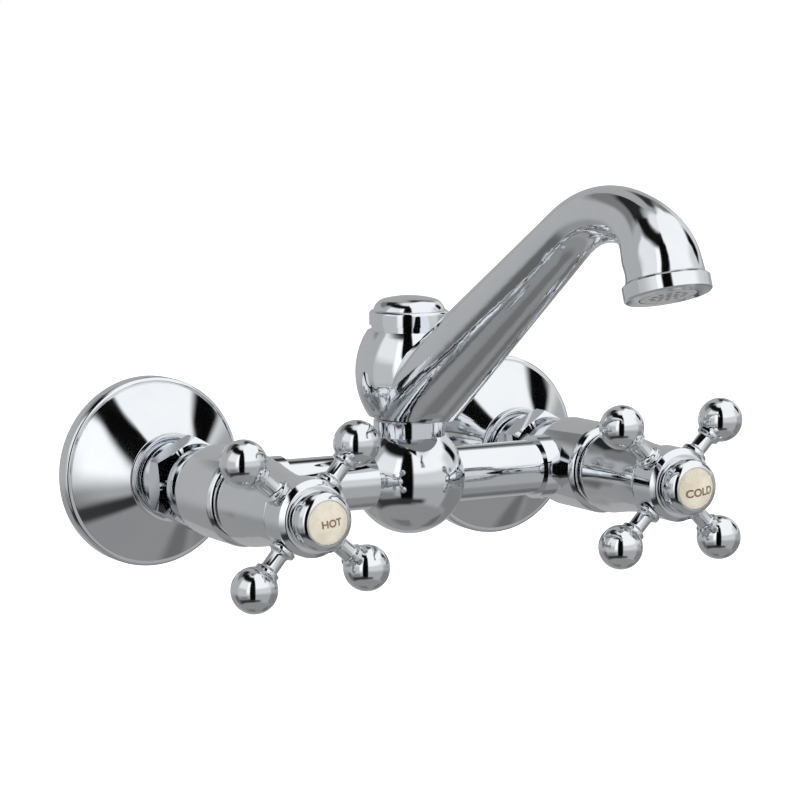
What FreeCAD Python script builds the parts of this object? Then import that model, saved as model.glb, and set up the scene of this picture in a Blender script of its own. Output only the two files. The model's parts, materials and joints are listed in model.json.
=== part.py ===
import FreeCAD, Part
import math
import os
import re
import Sketcher
from FreeCAD import Placement, Rotation, Vector

# Wall-mounted sink mixer: two quarter-turn valves on a bridge, joined by a swivel spout.
# Millimetres. The wall is the plane Y = 0 and the mixer stands out of it towards -Y.
# X runs from the hot valve (-X) to the cold valve (+X) and Z points up.
# The origin lies on the wall, midway between the two inlets.

SIZES = {
    # The whole mixer
    "inlet_spacing": 150.0,
    "thread_clearance": 0.06,
    "running_clearance": 0.08,
    "air_gap": 0.4,
    "face_gap": 0.2,
    "cut_overrun": 2.0,
    # Wall connector, threaded into the supply elbow at one end and the union nut at the other
    "inlet_thread_radius": 10.4775,
    "inlet_thread_length": 16.0,
    "thread_lead_in": 1.6,
    "union_thread_radius": 13.2205,
    "connector_reach": 35.0,
    "connector_hexagon": 27.0,
    "connector_hexagon_length": 8.0,
    "connector_bore": 6.5,
    # Conical wall flange
    "flange_radius": 35.4,
    "flange_rim_depth": 6.6,
    "flange_rim_round": 1.6,
    "flange_step": 0.5,
    "flange_step_width": 2.2,
    "flange_neck_wall": 2.78,
    "flange_groove": 1.1,
    "flange_groove_width": 0.8,
    "flange_neck_length": 2.9,
    "flange_nut_gap": 3.5,
    "flange_wall": 1.4,
    # Union nut, its washer and the inlet tail
    "nut_length": 15.0,
    "nut_skirt_length": 5.9,
    "nut_skirt_radius": 14.2,
    "nut_web": 3.0,
    "nut_wall": 1.78,
    "nut_gap": 4.5,
    "nut_chamfer": 1.6,
    "washer_thickness": 2.0,
    "washer_rim_gap": 0.6,
    "washer_bore": 7.5,
    "tail_collar_thickness": 3.0,
    "tail_radius": 9.2,
    "tail_thread_length": 9.0,
    "tail_bore": 6.0,
    # Body casting
    "housing_radius": 16.8,
    "housing_back": 18.5,
    "housing_front": 20.1,
    "housing_back_radius": 14.4,
    "housing_collar_length": 2.5,
    "housing_recess_radius": 12.9,
    "housing_recess_length": 6.0,
    "housing_neck_radius": 13.6,
    "housing_neck_length": 2.5,
    "seat_back": 6.0,
    "seat_bore": 5.6,
    "bridge_radius": 10.3,
    "bridge_bore": 5.5,
    "bridge_collar_radius": 11.8,
    "bridge_collar_length": 6.0,
    "bridge_collar_inset": 21.8,
    "bulb_radius": 20.5,
    "pillar_radius": 13.1,
    "pillar_top": 22.3,
    "pillar_chamfer": 1.0,
    "mixing_depth": 8.0,
    # Headwork: the cartridge that each handle turns
    "cage_length": 12.6,
    "cage_step": 0.9775,
    "cage_wall": 0.75,
    "cage_window_angle": 62.0,
    "disc_thickness": 3.0,
    "disc_side_gap": 0.15,
    "disc_port_margin": 1.4,
    "disc_port_core": 2.4,
    "disc_port_angle": 76.0,
    "seat_seal_thickness": 2.5,
    "gasket_thickness": 1.6,
    "gasket_width": 1.6,
    "headwork_thread_radius": 10.4775,
    "headwork_flange_width": 1.92,
    "headwork_flange_length": 2.5,
    "headwork_hexagon": 22.0,
    "headwork_hexagon_length": 6.0,
    "headwork_barrel_radius": 8.6,
    "quarter_turn": 90.0,
    "driver_angle": 80.0,
    "driver_thickness": 2.5,
    "stop_clearance_angle": 0.5,
    "stop_rib_height": 1.2,
    "driver_tab_width": 2.8,
    "driver_tab_depth": 1.0,
    "spindle_radius": 4.0,
    "spindle_engagement": 12.4,
    "clip_space": 1.6,
    "spline_depth": 0.45,
    "spline_teeth": 20,
    "spindle_ring_section": 0.75,
    "spindle_ring_first": 14.0,
    "spindle_ring_pitch": 6.0,
    "clip_thickness": 0.8,
    "clip_radius": 5.4,
    "clip_groove_depth": 0.7,
    "clip_angle": 300.0,
    # Bell shroud over each headwork
    "shroud_gap": 2.2,
    "shroud_length": 30.4,
    "shroud_radius": 15.7,
    "shroud_lip_radius": 15.0,
    "shroud_lip_length": 2.4,
    "shroud_room_length": 8.9,
    "shroud_thread_station": 10.4,
    "shroud_waist_radius": 14.0,
    "shroud_waist_station": 11.7,
    "shroud_throat_radius": 13.0,
    "shroud_throat_station": 19.7,
    "shroud_front_radius": 12.4,
    "shroud_wall": 1.5,
    "shroud_bore_taper": 0.9,
    "shroud_thread_length": 8.0,
    # Cross handle
    "hot_handle_angle": 5.0,
    "cold_handle_angle": 0.0,
    "hub_radius": 13.4,
    "hub_length": 13.5,
    "hub_round": 1.6,
    "hub_front_step": 1.8,
    "hub_front_round": 3.6,
    "hub_seat_thickness": 1.5,
    "hub_sleeve_radius": 8.9,
    "hub_sleeve_length": 7.4,
    "index_socket_radius": 8.6,
    "index_socket_depth": 4.6,
    "screw_head_radius": 4.6,
    "screw_head_length": 3.2,
    "screw_radius": 2.5,
    "screw_length": 13.0,
    "screw_socket_flats": 4.0,
    "arm_first_angle": 45.0,
    "arm_ball_radius": 8.1,
    "arm_ball_distance": 30.64,
    "arm_station": 5.9,
    "arm_stub_radius": 2.4,
    "arm_stub_length": 3.4,
    "arm_stem_radius": 3.1,
    "arm_collar_radius": 4.8,
    "arm_collar_length": 1.6,
    "arm_ring_radius": 4.4,
    "arm_ring_length": 1.3,
    "index_ring_radius": 10.4,
    "index_ring_length": 8.2,
    "index_ring_round": 4.2,
    "index_ring_lip": 0.2,
    "index_ring_ledge": 4.4,
    "index_ring_wall": 2.6,
    "button_radius": 7.5,
    "button_rim": 3.6,
    "button_dome": 2.9,
    # Spout post and hub
    "post_thread_length": 13.0,
    "post_flange_radius": 12.3,
    "post_flange_thickness": 1.8,
    "post_radius": 9.0,
    "post_top": 52.0,
    "post_bore": 5.6,
    "post_roof": 6.5,
    "post_port_radius": 3.0,
    "post_port_count": 4,
    "post_port_height": 38.5,
    "post_ring_section": 0.9,
    "post_ring_low": 30.0,
    "post_ring_high": 47.0,
    "slide_ring_thickness": 1.0,
    "slide_ring_width": 2.4,
    "hub_bottom": 23.0,
    "spout_hub_base_radius": 14.9,
    "spout_hub_radius": 19.7,
    "spout_hub_top_radius": 15.3,
    "spout_hub_shoulder": 54.4,
    "spout_hub_top": 55.4,
    "spout_hub_neck_radius": 13.8,
    "spout_chamber_radius": 11.6,
    "spout_chamber_low": 33.0,
    "spout_chamber_high": 44.0,
    "retainer_thickness": 1.5,
    "retainer_screw_radius": 3.0,
    "retainer_screw_length": 6.5,
    "retainer_head_radius": 5.0,
    "retainer_head_length": 3.6,
    "retainer_socket_flats": 5.0,
    "spout_cap_radius": 14.6,
    "spout_cap_neck_length": 1.0,
    "spout_cap_length": 6.4,
    "spout_cap_round": 1.5,
    "spout_cap_wall": 1.6,
    "spout_cap_spigot": 1.6,
    "spout_cap_shoulder_height": 4.0,
    "spout_cap_shoulder_inset": 3.6,
    "spout_cap_shoulder_round": 5.4,
    "spout_cap_crown_height": 1.2,
    # Spout tube, along its centre line
    "spout_start_height": 25.0,
    "spout_slope": 33.7,
    "spout_run": 126.5,
    "spout_rise_radius": 49.0,
    "spout_rise_turn": 44.0,
    "spout_fall_radius": 25.0,
    "spout_outlet_tilt": 18.5,
    "spout_root_radius": 15.6,
    "spout_slim_radius": 9.7,
    "spout_crest_radius": 9.2,
    "spout_outlet_radius": 13.0,
    "spout_wall": 2.3,
    "spout_end_length": 1.6,
    "spout_section_count": 24,
    "spout_smoothness": 5,
    "nose_radius": 10.95,
    "nose_bore": 9.6,
    "nose_root": 4.6,
    # Aerator
    "aerator_radius": 14.3,
    "aerator_length": 5.9,
    "aerator_chamfer": 0.6,
    "aerator_lip": 1.1,
    "aerator_washer_thickness": 1.5,
    "aerator_flange_thickness": 1.0,
    "aerator_flange_radius": 10.8,
    "aerator_core_radius": 9.2,
    "aerator_core_length": 10.5,
    "aerator_core_wall": 1.2,
    "aerator_grid_thickness": 1.5,
    "aerator_hole_radius": 0.95,
    "aerator_hole_pitch": 2.7,
}

HOT = -1
COLD = 1
ARMS_PER_HANDLE = 4
FLAT_TO_THE_SIDE = 30
OUT_OF_WALL = Rotation(Vector(1, 0, 0), 90)
UPRIGHT = Rotation()
ALONG_BRIDGE = Rotation(Vector(0, 1, 0), 90)

# Stations along a valve axis, as distances from the wall
COLLAR_FACE = "connector_reach + washer_thickness"
NUT_BACK = COLLAR_FACE + " + tail_collar_thickness + nut_web - nut_length"
HOUSING_BACK_FACE = "body_offset - housing_back"
NECK_FACE = "body_offset + housing_front + housing_neck_length"
SEAT_FACE = "body_offset - seat_back"
SHROUD_BACK = "body_offset + housing_front + shroud_gap"
SHROUD_FRONT = SHROUD_BACK + " + shroud_length"
DISC_FACE = SEAT_FACE + " + seat_seal_thickness"
DRIVER_BACK = DISC_FACE + " + 2 * disc_thickness"
HUB_BACK = SHROUD_FRONT + " + 2 * air_gap"
SLEEVE_BACK = HUB_BACK + " - hub_sleeve_length"
HUB_FRONT = HUB_BACK + " + hub_length"
HEADWORK_FRONT = SLEEVE_BACK + " - clip_space"
SPINDLE_FRONT = SLEEVE_BACK + " + spindle_engagement"

# Lengths that follow from the sizes
DERIVED = {
    "body_offset": "connector_reach + washer_thickness + tail_collar_thickness + nut_web + nut_gap"
    " + housing_back",
    "nut_hexagon": "2 * (union_thread_radius + nut_wall)",
    "flange_depth": "connector_reach + washer_thickness + tail_collar_thickness + nut_web - nut_length"
    " - flange_nut_gap",
    "flange_cone_depth": "flange_depth - flange_neck_length",
    "flange_cone_back": "flange_radius - flange_step_width",
    "flange_cone_front": "union_thread_radius + air_gap + flange_neck_wall",
    "cage_radius": "headwork_thread_radius - cage_step",
    "chamber_radius": "cage_radius - cage_wall",
    "disc_radius": "chamber_radius - disc_side_gap",
    "disc_port_radius": "disc_radius - disc_port_margin",
    "headwork_flange_radius": "headwork_thread_radius + headwork_flange_width",
    "headwork_length": f"{HEADWORK_FRONT} - ({SEAT_FACE})",
    "spindle_length": f"{SPINDLE_FRONT} - ({DRIVER_BACK})",
    "spline_length": "spindle_engagement - air_gap",
    "hub_front_radius": "hub_radius - hub_front_step",
    "index_ring_drop": "index_ring_radius - button_radius - thread_clearance - index_ring_lip",
    "index_ring_rise": "sqrt(2 * index_ring_round * index_ring_drop - index_ring_drop * index_ring_drop)",
    "nose_length": "aerator_length - aerator_lip - aerator_flange_thickness - aerator_washer_thickness",
}

document = FreeCAD.newDocument("sink_mixer")
sheet = document.addObject("Spreadsheet::Sheet", "Sizes")
for row, (alias, value) in enumerate(SIZES.items(), start=1):
    sheet.set(f"A{row}", alias)
    sheet.set(f"B{row}", str(value))
    sheet.setAlias(f"B{row}", alias)
document.recompute()

pieces = []


def linked(expression):
    """The expression with its derived lengths written out and its sizes pointing at their cells."""
    text = str(expression)
    while any(word in DERIVED for word in re.findall(r"[a-z_]+", text)):
        text = re.sub(r"[a-z_]+", lambda word: f"({DERIVED[word[0]]})" if word[0] in DERIVED else word[0],
                      text)
    return re.sub(r"[a-z_]+", lambda word: ("Sizes." if word[0] in SIZES else "") + word[0], text)


def amount(expression):
    """The number that an expression of size names gives."""
    return float(sheet.evalExpression(linked(expression)))


def bind(item, **expressions):
    for name, expression in expressions.items():
        item.setExpression(name, linked(expression))
    return item


def place(item, position, rotation=UPRIGHT):
    """Turn an item and tie the three coordinates of its place to the sheet."""
    item.Placement = Placement(Vector(*[amount(value) for value in position]), rotation)
    for axis, value in zip("xyz", position):
        item.setExpression("Placement.Base." + axis, linked(value))
    return item


def on_valve(item, side, station):
    """Stand an item, drawn upwards from zero, on a valve axis at a distance from the wall."""
    return place(item, (f"{side} * inlet_spacing / 2", f"-({station})", "0"), OUT_OF_WALL)


def on_swivel(item, height):
    return place(item, ("0", "-body_offset", height))


def keep(item, label):
    """Name an item as a finished piece of the mixer."""
    item.Label = label
    pieces.append(item)
    return item


def arc_middle(start, end, radius):
    """The point halfway along an arc; a positive radius bulges to the right of start to end."""
    chord = end - start
    across = Vector(chord.y, -chord.x, 0).normalize()
    half = chord.Length / 2
    sagitta = abs(radius) - math.sqrt(max(radius * radius - half * half, 0))
    return (start + end) / 2 + across * math.copysign(sagitta, radius)


def hold(sketch, edge, end, radius, height):
    """Fix a corner of a profile at its radius and height."""
    for kind, axis, value in (("DistanceX", -2, radius), ("DistanceY", -1, height)):
        if str(value) == "0":
            sketch.addConstraint(Sketcher.Constraint("PointOnObject", edge, end, axis))
            continue
        index = sketch.addConstraint(Sketcher.Constraint(kind, -1, 1, edge, end, amount(value)))
        sketch.setExpression(f"Constraints[{index}]", linked(value))


def draw_profile(sketch, outline):
    """Closed outline of corners (radius, height), or (radius, height, radius of the arc to it)."""
    corners = [Vector(amount(corner[0]), amount(corner[1]), 0) for corner in outline]
    ends = []
    for index, corner in enumerate(corners):
        target = outline[(index + 1) % len(outline)]
        finish = corners[(index + 1) % len(corners)]
        if len(target) == 3:
            edge = sketch.addGeometry(Part.Arc(corner, arc_middle(corner, finish, amount(target[2])), finish))
            number = sketch.addConstraint(Sketcher.Constraint("Radius", edge, abs(amount(target[2]))))
            sketch.setExpression(f"Constraints[{number}]", linked(f"abs({target[2]})"))
        else:
            edge = sketch.addGeometry(Part.LineSegment(corner, finish))
        forward = (sketch.getPoint(edge, 1) - corner).Length <= (sketch.getPoint(edge, 2) - corner).Length
        ends.append((edge, 1, 2) if forward else (edge, 2, 1))
    for index, (edge, first, last) in enumerate(ends):
        hold(sketch, edge, first, *outline[index][:2])
        following, begin, _ = ends[(index + 1) % len(ends)]
        sketch.addConstraint(Sketcher.Constraint("Coincident", edge, last, following, begin))


def turned(name, outline):
    """A body of revolution about its own upright axis."""
    body = document.addObject("PartDesign::Body", name)
    sketch = body.newObject("Sketcher::SketchObject", name + "_profile")
    plane = [item for item in body.Origin.OriginFeatures if item.Role == "XZ_Plane"][0]
    sketch.AttachmentSupport = [(plane, "")]
    sketch.MapMode = "FlatFace"
    document.recompute()
    draw_profile(sketch, outline)
    spin = body.newObject("PartDesign::Revolution", name + "_turned")
    spin.Profile = sketch
    spin.ReferenceAxis = (sketch, ["V_Axis"])
    spin.Angle = 360
    body.Tip = spin
    document.recompute()
    return body


def cylinder(name, radius, length, angle="360"):
    item = document.addObject("Part::Cylinder", name)
    return bind(item, Radius=radius, Height=length, Angle=angle)


def hexagon(name, flats, length):
    """A six-sided prism by its distance across the flats, with corners facing left and right."""
    item = document.addObject("Part::Prism", name)
    item.Polygon = 6
    return bind(item, Circumradius=f"({flats}) / sqrt(3)", Height=length)


def cut(name, base, *tools):
    """One item with every tool taken out of it."""
    tool = tools[0] if len(tools) == 1 else fuse(name + "_tools", *tools)
    item = document.addObject("Part::Cut", name)
    item.Base = base
    item.Tool = tool
    return item


def fuse(name, *items):
    item = document.addObject("Part::MultiFuse", name)
    item.Shapes = list(items)
    return item


def common(name, base, tool):
    item = document.addObject("Part::Common", name)
    item.Base = base
    item.Tool = tool
    return item


def raised(item, height, turn=0):
    """Shift an item up its own axis and turn it about that axis."""
    return place(item, ("0", "0", height), Rotation(Vector(0, 0, 1), turn))


def ring(name, inner, outer, thickness):
    return turned(name, [(inner, "0"), (outer, "0"), (outer, thickness), (inner, thickness)])


def round_ring(name, middle, section, height):
    item = document.addObject("Part::Torus", name)
    bind(item, Radius1=middle, Radius2=section)
    return raised(item, height)


# Supply connections, from the wall to the body


def make_wall_connector(name, side):
    """Straight union: a thread for the wall elbow, a spanner hexagon and the union thread."""
    whole = "inlet_thread_length + connector_reach"
    hexagon_end = "inlet_thread_length + connector_hexagon_length"
    corner = "connector_hexagon / sqrt(3)"
    blank = turned(name + "_blank", [
        ("connector_bore", "0"),
        ("inlet_thread_radius - thread_lead_in / 2", "0"),
        ("inlet_thread_radius", "thread_lead_in"),
        ("inlet_thread_radius", "inlet_thread_length"),
        (corner, "inlet_thread_length"),
        (corner, hexagon_end),
        ("union_thread_radius", hexagon_end),
        ("union_thread_radius", whole),
        ("connector_bore", whole),
    ])
    prism = hexagon(name + "_prism", "connector_hexagon", whole)
    connector = common(name, blank, prism)
    on_valve(connector, side, "-inlet_thread_length")
    keep(connector, name)


def make_flange(name, side):
    """Thin conical cover plate with a rounded rim and a grooved neck."""
    rim = "flange_radius - flange_rim_round"
    cone_back = "flange_rim_depth + flange_step"
    groove = "flange_cone_front - flange_groove"
    groove_end = "flange_cone_depth + flange_groove_width"
    bore = "union_thread_radius + air_gap"
    outline = [
        ("flange_radius - flange_wall", "0"),
        ("flange_radius", "0"),
        ("flange_radius", "flange_rim_depth - flange_rim_round"),
        (rim, "flange_rim_depth", "flange_rim_round"),
        ("flange_cone_back", "flange_rim_depth"),
        ("flange_cone_back", cone_back),
        ("flange_cone_front", "flange_cone_depth"),
        (groove, "flange_cone_depth"),
        (groove, groove_end),
        ("flange_cone_front", groove_end),
        ("flange_cone_front", "flange_depth"),
        (bore, "flange_depth"),
        (bore, "flange_cone_depth - flange_wall"),
        ("flange_cone_back - flange_wall", cone_back + " - flange_wall"),
        ("flange_radius - flange_wall", "flange_rim_depth - flange_wall"),
    ]
    keep(on_valve(turned(name, outline), side, "0"), name)


def make_union_nut(name, side):
    """Skirted, chamfered hexagon nut with a web that draws the inlet tail onto the connector."""
    corner = "nut_hexagon / sqrt(3)"
    edge = "nut_hexagon / 2"
    thread = "union_thread_radius + thread_clearance"
    web = "nut_length - nut_web"
    tail_hole = "tail_radius + air_gap"
    blank = turned(name + "_blank", [
        (thread, "0"),
        ("nut_skirt_radius", "0"),
        ("nut_skirt_radius", "nut_skirt_length"),
        (edge, "nut_skirt_length"),
        (corner, "nut_skirt_length + nut_chamfer"),
        (corner, "nut_length - nut_chamfer"),
        (edge, "nut_length"),
        (tail_hole, "nut_length"),
        (tail_hole, web),
        (thread, web),
    ])
    prism = raised(hexagon(name + "_prism", "nut_hexagon", "nut_length"), "0", FLAT_TO_THE_SIDE)
    keep(on_valve(common(name, blank, prism), side, NUT_BACK), name)


def make_union_washer(name, side):
    washer = ring(name, "washer_bore", "union_thread_radius - washer_rim_gap", "washer_thickness")
    keep(on_valve(washer, side, "connector_reach"), name)


def make_inlet_tail(name, side):
    """Collared tail, held by the union nut and screwed into the back of the valve housing."""
    whole = f"{HOUSING_BACK_FACE} - ({COLLAR_FACE}) + tail_thread_length"
    collar = "union_thread_radius - washer_rim_gap"
    outline = [
        ("tail_bore", "0"),
        (collar, "0"),
        (collar, "tail_collar_thickness"),
        ("tail_radius", "tail_collar_thickness"),
        ("tail_radius", whole),
        ("tail_bore", whole),
    ]
    keep(on_valve(turned(name, outline), side, COLLAR_FACE), name)


# Body casting


def housing_blank(name, side):
    """Barrel round one valve: a collar and recess behind, rounded shoulders and a front neck."""
    shoulder = "housing_radius - housing_neck_radius"
    recess_end = "housing_collar_length + housing_recess_length"
    back_round = "housing_radius - housing_recess_radius"
    neck_back = "housing_back + housing_front"
    outline = [
        ("0", "0"),
        ("housing_back_radius", "0"),
        ("housing_back_radius", "housing_collar_length"),
        ("housing_recess_radius", "housing_collar_length"),
        ("housing_recess_radius", recess_end),
        ("housing_radius", f"{recess_end} + {back_round}", back_round),
        ("housing_radius", f"{neck_back} - ({shoulder})"),
        ("housing_neck_radius", neck_back, shoulder),
        ("housing_neck_radius", f"{neck_back} + housing_neck_length"),
        ("0", f"{neck_back} + housing_neck_length"),
    ]
    return on_valve(turned(name, outline), side, HOUSING_BACK_FACE)


def pillar_blank(name):
    """Round bulb in the middle of the bridge, with the pillar that carries the spout."""
    meeting = "sqrt(bulb_radius * bulb_radius - pillar_radius * pillar_radius)"
    outline = [
        ("0", "-bulb_radius"),
        ("bulb_radius", "0", "bulb_radius"),
        ("pillar_radius", meeting, "bulb_radius"),
        ("pillar_radius", "pillar_top - pillar_chamfer"),
        ("pillar_radius - pillar_chamfer", "pillar_top"),
        ("0", "pillar_top"),
    ]
    return on_swivel(turned(name, outline), "0")


def along_bridge(item, start):
    return place(item, (start, "-body_offset", "0"), ALONG_BRIDGE)


def make_body():
    """One casting: two valve housings, the bridge between them and the central pillar."""
    bridge = along_bridge(cylinder("bridge_bar", "bridge_radius", "inlet_spacing"), "-inlet_spacing / 2")
    solids = [pillar_blank("pillar_blank"), bridge]
    passage = along_bridge(cylinder("bridge_passage", "bridge_bore", "inlet_spacing"), "-inlet_spacing / 2")
    post_depth = "post_thread_length + air_gap"
    post_hole = cylinder("post_hole", "post_radius + thread_clearance", f"{post_depth} + cut_overrun")
    on_swivel(post_hole, f"pillar_top - ({post_depth})")
    mixing_hole = cylinder("mixing_hole", "post_bore", "pillar_top + mixing_depth")
    on_swivel(mixing_hole, "-mixing_depth")
    tools = [passage, post_hole, mixing_hole]
    for word, side in (("hot", HOT), ("cold", COLD)):
        solids.append(housing_blank(word + "_housing", side))
        inner_end = "inlet_spacing / 2 - bridge_collar_inset"
        start = inner_end if side == COLD else f"-({inner_end}) - bridge_collar_length"
        collar = cylinder(word + "_bridge_collar", "bridge_collar_radius", "bridge_collar_length")
        solids.append(along_bridge(collar, start))
        chamber_length = f"{NECK_FACE} - ({SEAT_FACE}) + cut_overrun"
        chamber = cylinder(word + "_chamber", "headwork_thread_radius + thread_clearance", chamber_length)
        tail_hole = cylinder(word + "_tail_hole", "tail_radius + thread_clearance",
                             "tail_thread_length + air_gap + cut_overrun")
        seat_hole = cylinder(word + "_seat_hole", "seat_bore", "housing_back + cut_overrun")
        gasket_seat = cylinder(word + "_gasket_seat", "headwork_thread_radius + gasket_width + air_gap",
                               "gasket_thickness + cut_overrun")
        tools.append(on_valve(chamber, side, SEAT_FACE))
        tools.append(on_valve(tail_hole, side, f"{HOUSING_BACK_FACE} - cut_overrun"))
        tools.append(on_valve(seat_hole, side, f"{HOUSING_BACK_FACE} - cut_overrun"))
        tools.append(on_valve(gasket_seat, side, f"{NECK_FACE} - gasket_thickness"))
    casting = fuse("mixer_casting", *solids)
    keep(cut("mixer_body", casting, *tools), "mixer_body")


# Headwork


def sector(name, radius, length, angle, middle, height):
    """A wedge of a cylinder centred on a direction given in degrees."""
    item = cylinder(name, radius, length, angle)
    return raised(item, height, middle - amount(angle) / 2)


def make_headwork_body(name, side):
    """Brass cartridge body: windowed cage, housing thread, hexagon and shroud thread."""
    flange_back = f"{NECK_FACE} - ({SEAT_FACE})"
    hexagon_back = flange_back + " + headwork_flange_length"
    barrel_back = hexagon_back + " + headwork_hexagon_length"
    roof = "seat_seal_thickness + 2 * disc_thickness + driver_thickness + face_gap"
    bore = "spindle_radius + running_clearance"
    corner = "headwork_hexagon / sqrt(3)"
    outline = [
        ("chamber_radius", "air_gap"),
        ("cage_radius", "air_gap"),
        ("cage_radius", "cage_length"),
        ("headwork_thread_radius", "cage_length"),
        ("headwork_thread_radius", flange_back),
        ("headwork_flange_radius", flange_back),
        ("headwork_flange_radius", hexagon_back),
        (corner, hexagon_back),
        (corner, barrel_back),
        ("headwork_barrel_radius", barrel_back),
        ("headwork_barrel_radius", "headwork_length"),
        (bore, "headwork_length"),
        (bore, roof),
        ("chamber_radius", roof),
    ]
    blank = turned(name + "_blank", outline)
    flats = raised(hexagon(name + "_flats", "headwork_hexagon", "headwork_hexagon_length"), hexagon_back)
    below = cylinder(name + "_below", "headwork_flange_radius", hexagon_back)
    above = cylinder(name + "_above", "headwork_barrel_radius", "headwork_length")
    shaped = common(name + "_shaped", blank, fuse(name + "_envelope", flats, below, above))
    driver_height = "seat_seal_thickness + 2 * disc_thickness"
    # A wing closes against the rib behind it and opens, turning the positive way, to the rib ahead
    rib_angle = "180 - quarter_turn - driver_angle - 2 * stop_clearance_angle"
    rib_middle = -amount(f"driver_angle / 2 + stop_clearance_angle + ({rib_angle}) / 2")
    ribs = []
    windows = []
    for index, half_turn in enumerate((0, 180)):
        rib = sector(f"{name}_rib_{index}", "cage_radius", f"{roof} - ({driver_height})", rib_angle,
                     rib_middle + half_turn, driver_height)
        ribs.append(rib)
        window = sector(f"{name}_window_{index}", "cage_radius + cut_overrun", "driver_thickness",
                        "cage_window_angle", rib_middle + 90 + half_turn, driver_height)
        windows.append(window)
    rib_core = cylinder(name + "_rib_core", "chamber_radius - stop_rib_height", roof)
    stops = cut(name + "_stops", fuse(name + "_ribs", *ribs), rib_core)
    open_cage = cut(name + "_open", shaped, *windows)
    keep(on_valve(fuse(name, open_cage, stops), side, SEAT_FACE), name)


def make_seat_seal(name, side):
    seal = ring(name, "seat_bore + air_gap", "disc_radius", "seat_seal_thickness")
    keep(on_valve(seal, side, SEAT_FACE), name)


def make_gasket(name, side):
    inner = "headwork_thread_radius + thread_clearance"
    gasket = ring(name, inner, "headwork_thread_radius + gasket_width", "gasket_thickness")
    keep(on_valve(gasket, side, f"{NECK_FACE} - gasket_thickness"), name)


def disc_blank(name, port_direction):
    """Ceramic disc with two opposite ports."""
    disc = cylinder(name + "_round", "disc_radius", "disc_thickness")
    core = cylinder(name + "_core", "disc_port_core", "disc_thickness")
    ports = []
    for index, half_turn in enumerate((0, 180)):
        ports.append(sector(f"{name}_port_{index}", "disc_port_radius", "disc_thickness", "disc_port_angle",
                            port_direction + half_turn, "0"))
    return fuse(name + "_ported", cut(name + "_cut", disc, *ports), core)


def make_fixed_disc(name, side):
    disc = disc_blank(name, 0)
    keep(on_valve(disc, side, DISC_FACE), name)


def tab_block(name, width, length, depth):
    """A bar across a disc, centred on its axis."""
    block = document.addObject("Part::Box", name)
    bind(block, Length=length, Width=width, Height=depth)
    return place(block, (f"-({length}) / 2", f"-({width}) / 2", "0"))


def make_moving_disc(name, side):
    """The disc that turns, closed at rest, with a slot for the spindle's tab."""
    disc = disc_blank(name, 90)
    slot = tab_block(name + "_slot", "driver_tab_width + 2 * running_clearance",
                     "2 * (disc_port_radius + running_clearance)", "driver_tab_depth + cut_overrun")
    bind(slot, **{"Placement.Base.z": "disc_thickness - driver_tab_depth"})
    keep(on_valve(cut(name, disc, slot), side, f"{DISC_FACE} + disc_thickness"), name)


def star_prism(name, radius, depth, length):
    """A toothed bar: tips at the radius, roots deeper by the depth."""
    teeth = int(amount("spline_teeth"))
    tip = amount(radius)
    root = tip - amount(depth)
    corners = []
    for index in range(2 * teeth + 1):
        reach = tip if index % 2 == 0 else root
        angle = math.pi * index / teeth
        corners.append(Vector(reach * math.cos(angle), reach * math.sin(angle), 0))
    item = document.addObject("Part::Feature", name)
    item.Shape = Part.Face(Part.makePolygon(corners)).extrude(Vector(0, 0, amount(length)))
    return item


def make_spindle(name, side):
    """Spindle with a disc tab, two driver wings, ring grooves, a clip groove and a splined end."""
    plain = "spindle_length - spline_length"
    neck = "spindle_radius - clip_groove_depth"
    clip_back = f"{HEADWORK_FRONT} - ({DRIVER_BACK}) + face_gap / 2"
    clip_front = f"{clip_back} + clip_thickness + face_gap"
    floor = "spindle_radius + running_clearance / 2 - 2 * spindle_ring_section"
    outline = [("0", "0"), ("spindle_radius", "0")]
    for index in (0, 1):
        middle = f"spindle_ring_first + {index} * spindle_ring_pitch"
        for radius, offset in (("spindle_radius", "-"), (floor, "-"), (floor, "+"), ("spindle_radius", "+")):
            outline.append((radius, f"{middle} {offset} spindle_ring_section"))
    outline += [
        ("spindle_radius", clip_back),
        (neck, clip_back),
        (neck, clip_front),
        ("spindle_radius", clip_front),
        ("spindle_radius", plain),
        ("0", plain),
    ]
    stem = turned(name + "_stem", outline)
    spline = star_prism(name + "_spline", "spindle_radius", "spline_depth", "spline_length")
    raised(spline, plain)
    wings = [sector(f"{name}_wing_{index}", "chamber_radius - air_gap", "driver_thickness", "driver_angle",
                    half_turn, "0") for index, half_turn in enumerate((0, 180))]
    tab = tab_block(name + "_tab", "driver_tab_width", "2 * disc_port_radius", "driver_tab_depth")
    bind(tab, **{"Placement.Base.z": "-driver_tab_depth"})
    screw_hole = cylinder(name + "_screw_hole", "screw_radius + thread_clearance",
                          "screw_length + cut_overrun")
    raised(screw_hole, "spindle_length - screw_length")
    spindle = cut(name, fuse(name + "_whole", stem, spline, tab, *wings), screw_hole)
    keep(on_valve(spindle, side, DRIVER_BACK), name)


def make_spindle_rings(name, side):
    """The two sealing rings in the spindle's grooves."""
    middle = "spindle_radius + running_clearance / 2 - spindle_ring_section"
    rings = []
    for index in (0, 1):
        rings.append(round_ring(f"{name}_{index}", middle, "spindle_ring_section",
                                f"spindle_ring_first + {index} * spindle_ring_pitch"))
    keep(on_valve(fuse(name, *rings), side, DRIVER_BACK), name)


def make_clip(name, side):
    """Open spring clip in the spindle's groove."""
    outer = cylinder(name + "_outer", "clip_radius", "clip_thickness", "clip_angle")
    inner = raised(cylinder(name + "_inner", "spindle_radius - clip_groove_depth + face_gap / 4",
                            "clip_thickness + 2 * cut_overrun"), "-cut_overrun")
    keep(on_valve(cut(name, outer, inner), side, f"{HEADWORK_FRONT} + face_gap"), name)


# Shroud and handle


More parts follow.
